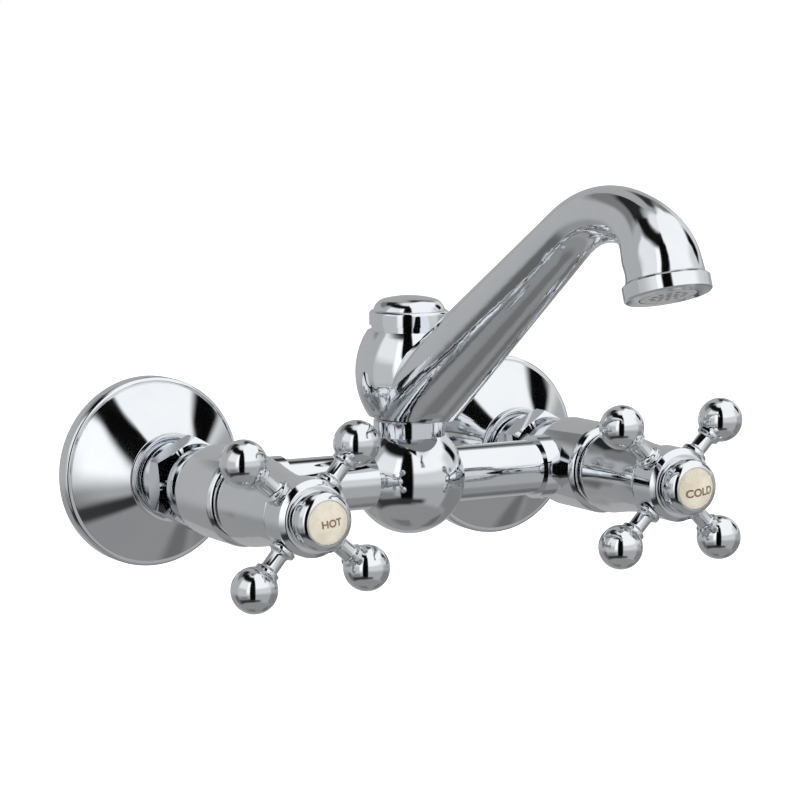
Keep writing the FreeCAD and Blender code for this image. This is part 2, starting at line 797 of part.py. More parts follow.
def make_shroud(name, side):
    """Polished bell that hides the headwork and screws onto its barrel."""
    thread = "headwork_barrel_radius + thread_clearance"
    bell_bore = "shroud_radius - shroud_wall"
    thread_back = "shroud_thread_station"
    thread_front = "shroud_thread_station + shroud_thread_length"
    front_bore = "hub_sleeve_radius + air_gap"
    outline = [
        (bell_bore, "0"),
        ("shroud_lip_radius", "0"),
        ("shroud_radius", "shroud_lip_length"),
        ("shroud_waist_radius", "shroud_waist_station"),
        ("shroud_throat_radius", "shroud_throat_station"),
        ("shroud_front_radius", "shroud_length"),
        (front_bore, "shroud_length"),
        (front_bore, thread_front),
        (thread, thread_front),
        (thread, thread_back),
        (f"{bell_bore} - shroud_bore_taper", "shroud_room_length"),
    ]
    keep(on_valve(turned(name, outline), side, SHROUD_BACK), name)


def make_handle_hub(name, side, angle):
    """Round boss of the cross handle: splined sleeve, screw seat, cap thread and four arm holes."""
    front = "hub_sleeve_length + hub_length"
    cap_floor = front + " - index_socket_depth"
    head_floor = f"{SPINDLE_FRONT} - ({SLEEVE_BACK}) + air_gap"
    socket_top = f"{head_floor} - air_gap / 2"
    head_seat = f"{socket_top} + hub_seat_thickness"
    outline = [
        ("0", "0"),
        ("hub_sleeve_radius", "0"),
        ("hub_sleeve_radius", "hub_sleeve_length"),
        ("hub_radius - hub_round", "hub_sleeve_length"),
        ("hub_radius", "hub_sleeve_length + hub_round", "hub_round"),
        ("hub_radius", front + " - (hub_radius - hub_front_radius)"),
        ("hub_front_radius", front, "hub_front_round"),
        ("index_socket_radius", front),
        ("index_socket_radius", cap_floor),
        ("screw_head_radius + air_gap", cap_floor),
        ("screw_head_radius + air_gap", head_seat),
        ("0", head_seat),
    ]
    blank = turned(name + "_blank", outline)
    socket = star_prism(name + "_socket", "spindle_radius + running_clearance", "spline_depth",
                        f"{socket_top} + cut_overrun")
    raised(socket, "-cut_overrun")
    clip_room = raised(cylinder(name + "_clip_room", "clip_radius + air_gap", "cut_overrun + air_gap"),
                       "-cut_overrun")
    screw_hole = cylinder(name + "_screw_hole", "screw_radius + air_gap / 2", front)
    arm_holes = []
    for index in range(ARMS_PER_HANDLE):
        hole = cylinder(f"{name}_arm_hole_{index}", "arm_stub_radius + thread_clearance",
                        "arm_stub_length + cut_overrun")
        arm_holes.append(place_arm_item(hole, angle, index))
    tools = [socket, clip_room, screw_hole, *arm_holes]
    keep(on_valve(cut(name, blank, *tools), side, SLEEVE_BACK), name)


def arm_turn(angle, index):
    """The direction of one arm round the valve axis, in degrees."""
    return f"(arm_first_angle + {angle} + {index} * 360 / {ARMS_PER_HANDLE})"


def place_arm_item(item, angle, index):
    """Lay an item along an arm's direction, starting where the arm's stub ends inside the hub."""
    turn = arm_turn(angle, index)
    direction = math.radians(amount(turn))
    start = amount("hub_radius - arm_stub_length")
    height = amount("hub_sleeve_length + arm_station")
    outward = Vector(math.cos(direction), math.sin(direction), 0)
    item.Placement = Placement(outward * start + Vector(0, 0, height), Rotation(Vector(0, 0, 1), outward))
    item.setExpression("Placement.Base.x", linked(f"(hub_radius - arm_stub_length) * cos{turn}"))
    item.setExpression("Placement.Base.y", linked(f"(hub_radius - arm_stub_length) * sin{turn}"))
    item.setExpression("Placement.Base.z", linked("hub_sleeve_length + arm_station"))
    return item


def make_arm(name, side, angle, index):
    """Turned arm: threaded stub, collar against the hub, waisted stem, ring and ball."""
    ball = "arm_ball_distance - (hub_radius - arm_stub_length)"
    collar_end = "arm_stub_length + arm_collar_length"
    ring_meeting = "sqrt(arm_ball_radius * arm_ball_radius - arm_ring_radius * arm_ring_radius)"
    ring_front = f"{ball} - {ring_meeting}"
    ring_back = f"{ring_front} - arm_ring_length"
    outline = [
        ("0", "0"),
        ("arm_stub_radius", "0"),
        ("arm_stub_radius", "arm_stub_length"),
        ("arm_collar_radius", "arm_stub_length"),
        ("arm_collar_radius", collar_end),
        ("arm_stem_radius", f"{collar_end} + arm_collar_length / 2"),
        ("arm_stem_radius", f"{ring_back} - arm_ring_length / 2"),
        ("arm_ring_radius", ring_back),
        ("arm_ring_radius", ring_front),
        ("arm_ball_radius", ball, "arm_ball_radius"),
        ("0", f"{ball} + arm_ball_radius", "arm_ball_radius"),
    ]
    arm = turned(name, outline)
    turn = arm_turn(angle, index)
    direction = math.radians(amount(turn))
    outward = Vector(math.cos(direction), 0, math.sin(direction))
    station = f"{HUB_BACK} + arm_station"
    place(arm, (f"{side} * inlet_spacing / 2 + (hub_radius - arm_stub_length) * cos{turn}",
                f"-({station})",
                f"(hub_radius - arm_stub_length) * sin{turn}"), Rotation(Vector(0, 0, 1), outward))
    keep(arm, name)


def socket_screw(name, head_radius, head_length, radius, length, flats):
    """Cap screw with a hexagon socket; its head stands above zero and its shank below."""
    outline = [
        ("0", f"-({length})"),
        (radius, f"-({length})"),
        (radius, "0"),
        (head_radius, "0"),
        (head_radius, head_length),
        ("0", head_length),
    ]
    blank = turned(name + "_blank", outline)
    socket = hexagon(name + "_socket", flats, f"{head_length} / 2 + cut_overrun")
    raised(socket, f"{head_length} / 2")
    return cut(name, blank, socket)


def make_handle_screw(name, side):
    head_seat = f"{SPINDLE_FRONT} + air_gap / 2 + hub_seat_thickness"
    screw = socket_screw(name, "screw_head_radius", "screw_head_length", "screw_radius",
                         "screw_length - air_gap", "screw_socket_flats")
    keep(on_valve(screw, side, head_seat), name)


def make_index_ring(name, side):
    """Bezel that screws into the hub and frames the index button."""
    spigot = "index_socket_radius - thread_clearance"
    spigot_length = "index_socket_depth - air_gap"
    ledge = f"{spigot_length} + index_ring_ledge"
    front = f"{spigot_length} + index_ring_length"
    seat = "button_radius + thread_clearance"
    outline = [
        ("index_socket_radius - index_ring_wall", "0"),
        (spigot, "0"),
        (spigot, spigot_length),
        ("index_ring_radius", spigot_length),
        ("index_ring_radius", f"{front} - index_ring_rise"),
        (f"{seat} + index_ring_lip", front, "index_ring_round"),
        (seat, front),
        (seat, ledge),
        ("index_socket_radius - index_ring_wall", ledge),
    ]
    keep(on_valve(turned(name, outline), side, f"{HUB_FRONT} - ({spigot_length})"), name)


def make_index_button(name, side):
    """Domed porcelain index button."""
    dome = "(button_radius * button_radius + button_dome * button_dome) / (2 * button_dome)"
    outline = [
        ("0", "0"),
        ("button_radius", "0"),
        ("button_radius", "button_rim"),
        ("0", "button_rim + button_dome", dome),
    ]
    keep(on_valve(turned(name, outline), side, f"{HUB_FRONT} + index_ring_ledge"), name)


# Spout post, hub and tube


def make_post():
    """Hollow post screwed into the pillar; water leaves it through ports inside the spout hub."""
    flange_top = "pillar_top + post_flange_thickness"
    roof = "post_top - post_roof"
    groove = "post_radius + running_clearance / 2 - 2 * post_ring_section"
    outline = [
        ("post_bore", "pillar_top - post_thread_length"),
        ("post_radius", "pillar_top - post_thread_length"),
        ("post_radius", "pillar_top"),
        ("post_flange_radius", "pillar_top"),
        ("post_flange_radius", flange_top),
        ("post_radius", flange_top),
    ]
    for height in ("post_ring_low", "post_ring_high"):
        for radius, offset in (("post_radius", "-"), (groove, "-"), (groove, "+"), ("post_radius", "+")):
            outline.append((radius, f"{height} {offset} post_ring_section"))
    outline += [("post_radius", "post_top"), ("0", "post_top"), ("0", roof), ("post_bore", roof)]
    blank = turned("spout_post_blank", outline)
    ports = []
    count = int(amount("post_port_count"))
    for index in range(count):
        port = cylinder(f"spout_post_port_{index}", "post_port_radius", "post_radius + cut_overrun")
        turn = 360 / count * (index + 0.5)
        sideways = Rotation(Vector(0, 0, 1), turn).multiply(ALONG_BRIDGE)
        ports.append(place(port, ("0", "0", "post_port_height"), sideways))
    screw_hole = raised(cylinder("spout_post_screw_hole", "retainer_screw_radius + thread_clearance",
                                 "retainer_screw_length + cut_overrun"),
                        "post_top + retainer_thickness - retainer_screw_length")
    post = cut("spout_post", blank, screw_hole, *ports)
    keep(on_swivel(post, "0"), "spout_post")


def make_post_rings():
    middle = "post_radius + running_clearance / 2 - post_ring_section"
    rings = [round_ring(f"post_ring_{height}", middle, "post_ring_section", height)
             for height in ("post_ring_low", "post_ring_high")]
    keep(on_swivel(fuse("spout_post_rings", *rings), "0"), "spout_post_rings")


def make_slide_rings():
    """Plain bearing rings under and over the spout hub."""
    low = "pillar_top + post_flange_thickness + running_clearance"
    high = "post_top - slide_ring_thickness - running_clearance"
    for name, height in (("lower_slide_ring", low), ("upper_slide_ring", high)):
        bore = "post_radius + running_clearance"
        slide = ring(name, bore, "post_radius + slide_ring_width", "slide_ring_thickness")
        keep(on_swivel(slide, height), name)


def make_retainer():
    """Washer and screw that hold the spout down on its post."""
    washer = ring("retainer_washer", "retainer_screw_radius + air_gap / 2", "post_radius + slide_ring_width",
                  "retainer_thickness")
    keep(on_swivel(washer, "post_top"), "retainer_washer")
    screw = socket_screw("retainer_screw", "retainer_head_radius", "retainer_head_length",
                         "retainer_screw_radius", "retainer_screw_length - air_gap", "retainer_socket_flats")
    keep(on_swivel(screw, "post_top + retainer_thickness"), "retainer_screw")


def make_hub_cap():
    """Round cap over the retaining screw, with a drum and a flattened dome."""
    cap_bottom = "spout_cap_neck_length"
    ledge = "spout_cap_radius - spout_cap_round"
    crown = f"{ledge} - spout_cap_shoulder_inset"
    crown_foot = "spout_cap_length + spout_cap_shoulder_height"
    crown_round = f"(({crown}) * ({crown}) + spout_cap_crown_height * spout_cap_crown_height)"
    crown_round += " / (2 * spout_cap_crown_height)"
    inner = "retainer_head_radius + spout_cap_wall"
    spigot = "post_radius + slide_ring_width + air_gap"
    outline = [
        (inner, "-spout_cap_spigot"),
        (spigot + " - thread_clearance", "-spout_cap_spigot"),
        (spigot + " - thread_clearance", "0"),
        ("spout_hub_neck_radius", "0"),
        ("spout_hub_neck_radius", cap_bottom),
        ("spout_cap_radius", cap_bottom),
        ("spout_cap_radius", "spout_cap_length - spout_cap_round"),
        (ledge, "spout_cap_length", "spout_cap_round"),
        (crown, crown_foot, "spout_cap_shoulder_round"),
        ("0", f"{crown_foot} + spout_cap_crown_height", crown_round),
        ("0", "spout_cap_length - spout_cap_wall"),
        (inner, "spout_cap_length - spout_cap_wall"),
    ]
    keep(on_swivel(turned("spout_hub_cap", outline), "spout_hub_top"), "spout_hub_cap")


def heading(slope):
    return Vector(0, -math.cos(slope), math.sin(slope))


def along_arc(start, angle, radius, turn):
    """Where an arc that dips by a turn from a start point gets to, and the slope it has there."""
    inward = Vector(0, -math.sin(angle), -math.cos(angle))
    centre = start + inward * radius
    return centre - inward * radius * math.cos(turn) + heading(angle) * radius * math.sin(turn)


def spout_stations():
    """Centre, direction and outer radius of the spout tube at even steps from hub to outlet."""
    slope = math.radians(amount("spout_slope"))
    rise_turn = math.radians(amount("spout_rise_turn"))
    fall_turn = slope + math.pi / 2 - rise_turn - math.radians(amount("spout_outlet_tilt"))
    run, rise, fall = [amount(name) for name in ("spout_run", "spout_rise_radius", "spout_fall_radius")]
    rise_length = rise * rise_turn
    fall_length = fall * fall_turn
    crest_distance = run + rise_length
    mouth_distance = crest_distance + fall_length
    whole = mouth_distance + amount("spout_end_length")
    run_end = Vector(0, 0, amount("spout_start_height")) + heading(slope) * run
    crest_slope = slope - rise_turn
    crest = along_arc(run_end, slope, rise, rise_turn)
    outlet_slope = crest_slope - fall_turn
    mouth = along_arc(crest, crest_slope, fall, fall_turn)
    root_radius, slim_radius = amount("spout_root_radius"), amount("spout_slim_radius")
    crest_radius, outlet_radius = amount("spout_crest_radius"), amount("spout_outlet_radius")
    steps = int(amount("spout_section_count"))
    stations = []
    for step in range(steps + 1):
        distance = whole * step / steps
        if distance <= run:
            centre = run_end - heading(slope) * (run - distance)
            radius = root_radius + (slim_radius - root_radius) * distance / run
            stations.append((centre, heading(slope), radius))
        elif distance <= crest_distance:
            turn = (distance - run) / rise
            radius = slim_radius + (crest_radius - slim_radius) * turn / rise_turn
            stations.append((along_arc(run_end, slope, rise, turn), heading(slope - turn), radius))
        elif distance <= mouth_distance:
            turn = (distance - crest_distance) / fall
            done_share = turn / fall_turn
            flare_share = done_share * done_share * (3 - 2 * done_share)
            radius = crest_radius + (outlet_radius - crest_radius) * flare_share
            stations.append((along_arc(crest, crest_slope, fall, turn), heading(crest_slope - turn), radius))
        else:
            past = distance - mouth_distance
            stations.append((mouth + heading(outlet_slope) * past, heading(outlet_slope), outlet_radius))
    return stations


def tube(stations, inset):
    """A solid lofted through a circle at each station, each circle smaller than its station by the inset."""
    wires = []
    for centre, direction, radius in stations:
        circle = Part.Circle(centre, direction, radius - inset)
        circle.XAxis = Vector(1, 0, 0)
        wires.append(Part.Wire(circle.toShape()))
    return Part.makeLoft(wires, True, False, False, int(amount("spout_smoothness")))


def outlet_placement():
    """The middle of the spout's mouth, with the outlet's own axis pointing down and forward."""
    centre, direction, _ = spout_stations()[-1]
    centre = centre + Vector(0, -amount("body_offset"), 0)
    return Placement(centre, Rotation(Vector(0, 0, 1), direction))


def block_above(height):
    """A block, larger than the spout, standing on a level above the bridge."""
    side = 3 * amount("spout_run")
    return Part.makeBox(side, side, side, Vector(-side / 2, -side / 2, height))


def make_spout():
    """Cast spout: barrel hub round the post, tapering swan tube and a threaded nose."""
    chord_half = (amount("spout_hub_shoulder") - amount("hub_bottom")) / 2
    bulge = amount("spout_hub_radius - (spout_hub_base_radius + spout_hub_top_radius) / 2")
    barrel_round = str((chord_half * chord_half + bulge * bulge) / (2 * bulge))
    outline = [
        ("0", "hub_bottom"),
        ("spout_hub_base_radius", "hub_bottom"),
        ("spout_hub_top_radius", "spout_hub_shoulder", barrel_round),
        ("spout_hub_neck_radius", "spout_hub_shoulder"),
        ("spout_hub_neck_radius", "spout_hub_top"),
        ("0", "spout_hub_top"),
    ]
    barrel = turned("spout_barrel", outline)
    ledge = "post_top - slide_ring_thickness - 2 * running_clearance"
    counterbore = "post_flange_radius + air_gap"
    counterbore_top = "pillar_top + post_flange_thickness + slide_ring_thickness + 2 * running_clearance"
    bore = "post_radius + running_clearance"
    cap_bore = "post_radius + slide_ring_width + air_gap"
    low = "hub_bottom - cut_overrun"
    high = "spout_hub_top + cut_overrun"
    hollow_outline = [
        ("0", low),
        (counterbore, low),
        (counterbore, counterbore_top),
        (bore, counterbore_top),
        (bore, "spout_chamber_low"),
        ("spout_chamber_radius", "spout_chamber_low"),
        ("spout_chamber_radius", "spout_chamber_high"),
        (bore, "spout_chamber_high"),
        (bore, ledge),
        (cap_bore, ledge),
        (cap_bore, high),
        ("0", high),
    ]
    hollow = turned("spout_hollow", hollow_outline)
    document.recompute()
    stations = spout_stations()
    outer = tube(stations, 0)
    bore_solid = tube(stations, amount("spout_wall"))
    outer = outer.common(block_above(amount("hub_bottom")))
    centre, direction, _ = stations[-1]
    nose_root = amount("nose_root")
    nose = Part.makeCylinder(amount("nose_radius"), nose_root + amount("nose_length"),
                             centre - direction * nose_root, direction)
    nose_bore = Part.makeCylinder(amount("nose_bore"), nose_root + amount("nose_length + cut_overrun"),
                                  centre - direction * nose_root, direction)
    casting = barrel.Shape.fuse([outer, nose])
    seal_zone = Part.makeCylinder(amount("spout_hub_top_radius"), amount("spout_hub_top"),
                                  Vector(0, 0, amount("spout_chamber_high")))
    waterway = bore_solid.common(block_above(amount("spout_chamber_low"))).cut(seal_zone)
    casting = casting.cut([hollow.Shape, waterway, nose_bore])
    spout = document.addObject("Part::Feature", "spout")
    spout.Shape = casting
    spout.Placement = Placement(Vector(0, -amount("body_offset"), 0), UPRIGHT)
    keep(spout, "spout")


def at_outlet(item, name):
    item.Placement = outlet_placement()
    return keep(item, name)


def make_aerator():
    """Screw-on outlet ring with its washer and flow-straightening insert."""
    thread = "nose_radius + thread_clearance"
    lip_top = "aerator_length - aerator_lip"
    gap = "air_gap"
    shell = turned("aerator_ring", [
        (thread, gap),
        ("aerator_radius - aerator_chamfer", gap),
        ("aerator_radius", f"{gap} + aerator_chamfer"),
        ("aerator_radius", "aerator_length - aerator_chamfer"),
        ("aerator_radius - aerator_chamfer", "aerator_length"),
        ("aerator_core_radius + air_gap", "aerator_length"),
        ("aerator_core_radius + air_gap", lip_top),
        (thread, lip_top),
    ])
    at_outlet(shell, "aerator_ring")
    washer = turned("aerator_washer", [
        ("nose_bore", "nose_length"),
        ("aerator_flange_radius", "nose_length"),
        ("aerator_flange_radius", "nose_length + aerator_washer_thickness"),
        ("nose_bore", "nose_length + aerator_washer_thickness"),
    ])
    at_outlet(washer, "aerator_washer")
    flange_top = f"{lip_top} - aerator_flange_thickness"
    grid = "aerator_length - aerator_grid_thickness"
    core = "aerator_core_radius - aerator_core_wall"
    blank = turned("aerator_insert_blank", [
        ("0", grid),
        (core, grid),
        (core, "aerator_length - aerator_core_length"),
        ("aerator_core_radius", "aerator_length - aerator_core_length"),
        ("aerator_core_radius", flange_top),
        ("aerator_flange_radius", flange_top),
        ("aerator_flange_radius", lip_top),
        ("aerator_core_radius", lip_top),
        ("aerator_core_radius", "aerator_length"),
        ("0", "aerator_length"),
    ])
    holes = []
    for ring_number in (0, 1, 2):
        count = max(6 * ring_number, 1)
        for index in range(count):
            hole = cylinder(f"aerator_hole_{ring_number}_{index}", "aerator_hole_radius",
                            "aerator_grid_thickness + 2 * cut_overrun")
            turn = 360 / count * index
            holes.append(place(hole, (f"{ring_number} * aerator_hole_pitch * cos({turn})",
                                      f"{ring_number} * aerator_hole_pitch * sin({turn})",
                                      f"{grid} - cut_overrun")))
    at_outlet(cut("aerator_insert", blank, *holes), "aerator_insert")


make_body()
for word, side in (("hot", HOT), ("cold", COLD)):
    angle = word + "_handle_angle"
    make_wall_connector(word + "_wall_connector", side)
    make_flange(word + "_wall_flange", side)
    make_union_nut(word + "_union_nut", side)
    make_union_washer(word + "_union_washer", side)
    make_inlet_tail(word + "_inlet_tail", side)
    make_headwork_body(word + "_headwork_body", side)
    make_seat_seal(word + "_seat_seal", side)
    make_gasket(word + "_headwork_gasket", side)
    make_fixed_disc(word + "_fixed_disc", side)
    make_moving_disc(word + "_moving_disc", side)
    make_spindle(word + "_spindle", side)
    make_spindle_rings(word + "_spindle_rings", side)
    make_clip(word + "_spindle_clip", side)
    make_shroud(word + "_shroud", side)
    make_handle_hub(word + "_handle_hub", side, angle)
    for number in range(ARMS_PER_HANDLE):
        make_arm(f"{word}_handle_arm_{number + 1}", side, angle, number)
    make_handle_screw(word + "_handle_screw", side)
    make_index_ring(word + "_index_ring", side)
    make_index_button(word + "_index_button", side)
make_post()
make_post_rings()
make_slide_rings()
make_retainer()
make_hub_cap()
make_spout()
make_aerator()

document.recompute()
for item in document.Objects:
    if "Invalid" in item.State or "Error" in item.State:
        raise RuntimeError(f"{item.Label} did not build: {item.State}")
for piece in pieces:
    if piece.Shape.isNull() or not piece.Shape.isValid():
        raise RuntimeError(f"{piece.Label} has no valid shape")

os.makedirs("parts", exist_ok=True)
for piece in pieces:
    piece.Shape.exportStep(f"parts/{piece.Label}.step")
    print(f"{piece.Label}: {len(piece.Shape.Solids)} solid, {piece.Shape.Volume:.0f} mm3")
print(f"{len(pieces)} nodes")
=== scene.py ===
# %% [markdown]
# # A wall-mounted sink mixer, dressed for its portrait
# The solids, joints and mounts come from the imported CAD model. This lesson gives them their looks: finer
# meshes for the pieces that show most, and a finish for every piece. It works in the CAD model's own frame,
# where X runs from the hot valve to the cold one, Y goes into the wall, and Z goes up, so a piece goes
# exactly where the CAD says. Pieces are measured in millimetres, which MM turns into metres, and places in
# the room are in metres.

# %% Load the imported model
import json
import math

import bmesh
import bpy
from mathutils import Matrix, Vector


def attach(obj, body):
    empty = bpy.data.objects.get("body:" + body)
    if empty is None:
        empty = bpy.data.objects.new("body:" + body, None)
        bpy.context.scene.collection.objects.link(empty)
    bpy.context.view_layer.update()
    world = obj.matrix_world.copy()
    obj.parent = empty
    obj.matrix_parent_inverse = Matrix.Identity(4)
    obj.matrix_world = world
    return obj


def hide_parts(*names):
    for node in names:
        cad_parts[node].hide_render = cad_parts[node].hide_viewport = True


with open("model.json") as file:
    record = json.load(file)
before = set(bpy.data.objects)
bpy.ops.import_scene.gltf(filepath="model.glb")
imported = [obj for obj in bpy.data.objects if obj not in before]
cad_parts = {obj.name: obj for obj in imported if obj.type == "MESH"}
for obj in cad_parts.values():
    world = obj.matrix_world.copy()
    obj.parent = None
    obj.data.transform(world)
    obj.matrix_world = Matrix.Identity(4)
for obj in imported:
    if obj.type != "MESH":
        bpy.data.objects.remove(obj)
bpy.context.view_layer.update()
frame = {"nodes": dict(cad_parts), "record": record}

MM = 0.001

# %% [markdown]
# ## The camera
# The photograph was taken from the left of the mixer and a little above it, from a good metre away.
# A long lens at that distance keeps the far valve nearly as large as the near one, as the photo shows.
# The camera could be parented to an empty and aimed with a constraint, but two points and a track
# quaternion say the same with nothing left live in the scene.

# %% Stand the camera where the photographer stood
CAMERA_PLACE = Vector((-0.5493, -1.0056, 0.1625))
CAMERA_TARGET = Vector((0.00545, -0.0500, 0.02654))
LENS = 135.09
SENSOR_WIDTH = 36.0
camera_data = bpy.data.cameras.new("portrait_camera")
camera_data.lens = LENS
camera_data.sensor_width = SENSOR_WIDTH
camera = bpy.data.objects.new("portrait_camera", camera_data)
camera.location = CAMERA_PLACE
camera.rotation_euler = (CAMERA_TARGET - CAMERA_PLACE).to_track_quat("-Z", "Y").to_euler()
bpy.context.scene.collection.objects.link(camera)
bpy.context.scene.camera = camera
bpy.context.scene.view_settings.view_transform = "Standard"
print("camera", round((CAMERA_TARGET - CAMERA_PLACE).length, 3), "m from its target")

# %% [markdown]
# ## Helpers for node trees
# The sky, the floor and every finish are node trees, and they share three moves: feed a socket, stretch a
# value from one range to another, and mix two values. A Mix node carries its own sockets for each data
# type, some with the same name, so they are picked by number.

# %% Write the helpers
MIX_AMOUNT = 0
MIX_SOCKETS = {
    # first input, second input, output
    "FLOAT": (2, 3, 0),
    "RGBA": (6, 7, 2),
}


def feed(tree, value, socket):
    """Link another node's output to a socket, or give it a fixed value."""
    if isinstance(value, bpy.types.NodeSocket):
        tree.links.new(value, socket)
    else:
        socket.default_value = value


def spread(tree, value, source, target, step="LINEAR"):
    """Stretch a value from one range to another, clamped at both ends."""
    node = tree.nodes.new("ShaderNodeMapRange")
    node.interpolation_type = step
    tree.links.new(value, node.inputs["Value"])
    for socket, number in zip(("From Min", "From Max", "To Min", "To Max"), (*source, *target)):
        node.inputs[socket].default_value = number
    return node.outputs["Result"]


def mixed(tree, kind, amount, first, second):
    """The first value where amount is 0 and the second where it is 1."""
    first_at, second_at, result_at = MIX_SOCKETS[kind]
    node = tree.nodes.new("ShaderNodeMix")
    node.data_type = kind
    feed(tree, amount, node.inputs[MIX_AMOUNT])
    feed(tree, first, node.inputs[first_at])
    feed(tree, second, node.inputs[second_at])
    return node.outputs[result_at]


print("three node helpers")

# %% [markdown]
# ## The studio in the reflections
# Chrome has no colour of its own: all that it shows is the room. A product photographer builds that room
# from white softboxes and black flags, and here the world does the same. Each card is a patch of the sky
# between two azimuths and two elevations, with soft edges, laid over the ones before it. Real card
# meshes would work too, but patches of sky stand in nobody's way when the camera moves to another side.
# Azimuth 0 is straight out of the wall and grows towards the cold valve.

# %% Start the world and measure its directions
world = bpy.data.worlds.new("studio")
bpy.context.scene.world = world
world.use_nodes = True
sky = world.node_tree
sky.nodes.clear()


def sky_math(operation, first, second=0.0):
    """One Math node; each input is a number or another node's output."""
    node = sky.nodes.new("ShaderNodeMath")
    node.operation = operation
    feed(sky, first, node.inputs[0])
    feed(sky, second, node.inputs[1])
    return node.outputs[0]


DEGREES_IN_RADIAN = math.degrees(1)
direction = sky.nodes.new("ShaderNodeSeparateXYZ")
sky.links.new(sky.nodes.new("ShaderNodeTexCoord").outputs["Generated"], direction.inputs[0])
towards_room = sky_math("MULTIPLY", direction.outputs["Y"], -1.0)
around = sky_math("ARCTAN2", direction.outputs["X"], towards_room)
azimuth = sky_math("MULTIPLY", around, DEGREES_IN_RADIAN)
elevation = sky_math("MULTIPLY", sky_math("ARCSINE", direction.outputs["Z"]), DEGREES_IN_RADIAN)
print("the sky knows its azimuth and elevation in degrees")

# %% [markdown]
# A card's level is the grey that chrome shows when it reflects the card, so it can be compared with the
# photograph. An edge at 180 degrees, plus or minus, is left out. There the card runs over the pole, or up
# to the seam straight behind the wall, where another card can carry on.

# %% A card is a soft-edged patch of sky
CHROME_REFLECTANCE = 0.81
NO_EDGE = 180
ALL_ROUND = (-NO_EDGE, NO_EDGE)
RISING = (0, 1)
FALLING = (1, 0)


def seen_grey(level):
    """The light that chrome turns into this grey level, 0 to 255, in the picture, by the sRGB curve."""
    shade = level / 255
    linear = shade / 12.92 if shade <= 0.04045 else ((shade + 0.055) / 1.055) ** 2.4
    return linear / CHROME_REFLECTANCE


def lay_card(under, level, azimuths, elevations, soft):
    """Lay a card of one grey over the sky made so far. soft is left, right, bottom, top."""
    left, right, bottom, top = soft
    mask = None
    for value, middle, softness, sides in (
        (azimuth, azimuths[0], left, RISING), (azimuth, azimuths[1], right, FALLING),
        (elevation, elevations[0], bottom, RISING), (elevation, elevations[1], top, FALLING),
    ):
        if abs(middle) < NO_EDGE:
            edge = spread(sky, value, (middle - softness, middle + softness), sides, "SMOOTHSTEP")
            mask = edge if mask is None else sky_math("MULTIPLY", mask, edge)
    return mixed(sky, "FLOAT", mask, under, seen_grey(level))


print("a white card shines at", round(seen_grey(255), 3))

# %% Lay the cards
OPEN_SKY = 160
CARDS = (
    # level, azimuths, elevations, softness
    # the ground
    (136, ALL_ROUND, (-180, -46), (4, 4, 4, 4)),
    (110, (-180, -132), (-180, -68), (4, 12, 4, 8)),
    (110, (140, 180), (-180, -68), (12, 4, 4, 8)),
    (104, (92, 128), (-60, -44), (6, 6, 5, 5)),
    # the low walls
    (142, (-180, -100), (-46, -14), (4, 6, 6, 8)),
    (54, (-125, -12), (-49, -32), (8, 8, 4, 6)),
    (122, (-100, -62), (-34, -14), (6, 6, 4, 6)),
    (98, (-136, -112), (-44, -17), (5, 8, 8, 6)),
    (162, (-26, 58), (-46, -6), (4, 6, 8, 8)),
    (124, (58, 135), (-44, -12), (6, 8, 6, 6)),
    # the tall softboxes on the hot side
    (228, (-112, -64), (-10, 46), (5, 4, 14, 4)),
    (184, (-112, -64), (-18, 13), (5, 4, 10, 7)),
    (254, (-64, -42), (-10, 46), (4, 5, 14, 4)),
    (168, (-180, -112), (-12, 46), (5, 8, 8, 6)),
    # the top, and the softboxes in front and on the cold side
    (228, ALL_ROUND, (74, 180), (4, 4, 5, 4)),
    (244, (-26, 128), (12, 180), (5, 6, 8, 4)),
    (205, (58, 128), (8, 33), (14, 6, 6, 6)),
    (206, (-26, 60), (-8, 14), (4, 8, 8, 8)),
    # the grey and black flags
    (118, (-180, -136), (28, 46), (4, 8, 5, 4)),
    (38, (-180, -134), (44, 66), (4, 6, 3, 5)),
    (16, (-140, -27), (50, 73), (6, 4, 4, 5)),
    (6, (86, 106), (13, 34), (3, 4, 3, 4)),
    (120, (118, 134), (30, 50), (5, 5, 5, 5)),
    (48, (134, 150), (34, 62), (4, 4, 6, 6)),
    (6, (-49, -21), (-42, 60), (2.5, 3, 6, 5)),
    (48, (-58, 8), (-46, -36), (9, 10, 5, 5)),
)
studio = seen_grey(OPEN_SKY)
for level, azimuths, elevations, soft in CARDS:
    studio = lay_card(studio, level, azimuths, elevations, soft)
print(len(CARDS), "cards in the sky")

# %% [markdown]
# The camera must still see plain white behind the mixer, and matt surfaces must be lit by an even sky, so
# the cards are shown to glossy rays alone. Light Path tells the world which kind of ray is asking.

# %% Show the cards to glossy rays only
WHITE = 1.0
SOFT_SKY = 0.55
paths = sky.nodes.new("ShaderNodeLightPath")
seen_directly = sky_math("MAXIMUM", paths.outputs["Is Camera Ray"], paths.outputs["Is Transmission Ray"])
plain = mixed(sky, "FLOAT", seen_directly, SOFT_SKY, WHITE)
shown = mixed(sky, "FLOAT", paths.outputs["Is Glossy Ray"], plain, studio)
background = sky.nodes.new("ShaderNodeBackground")
sky.links.new(shown, background.inputs["Color"])
world_output = sky.nodes.new("ShaderNodeOutputWorld")
sky.links.new(background.outputs[0], world_output.inputs["Surface"])
print("world made of", len(sky.nodes), "nodes")

# %% [markdown]
# ## Floor and lamps
# The mixer hangs on a wall that the photograph leaves out, so the floor lies well below it. It is a plain
# pale sheet. It glows a little, and more to the camera than to other rays, so that its far edge melts into
# the white behind it without putting more light on the mixer. It is still a matt sheet under that glow, so
# it takes the mixer's shadow. Two large area lamps model the matt parts. They are kept out of the
# reflections, where the cards already stand.

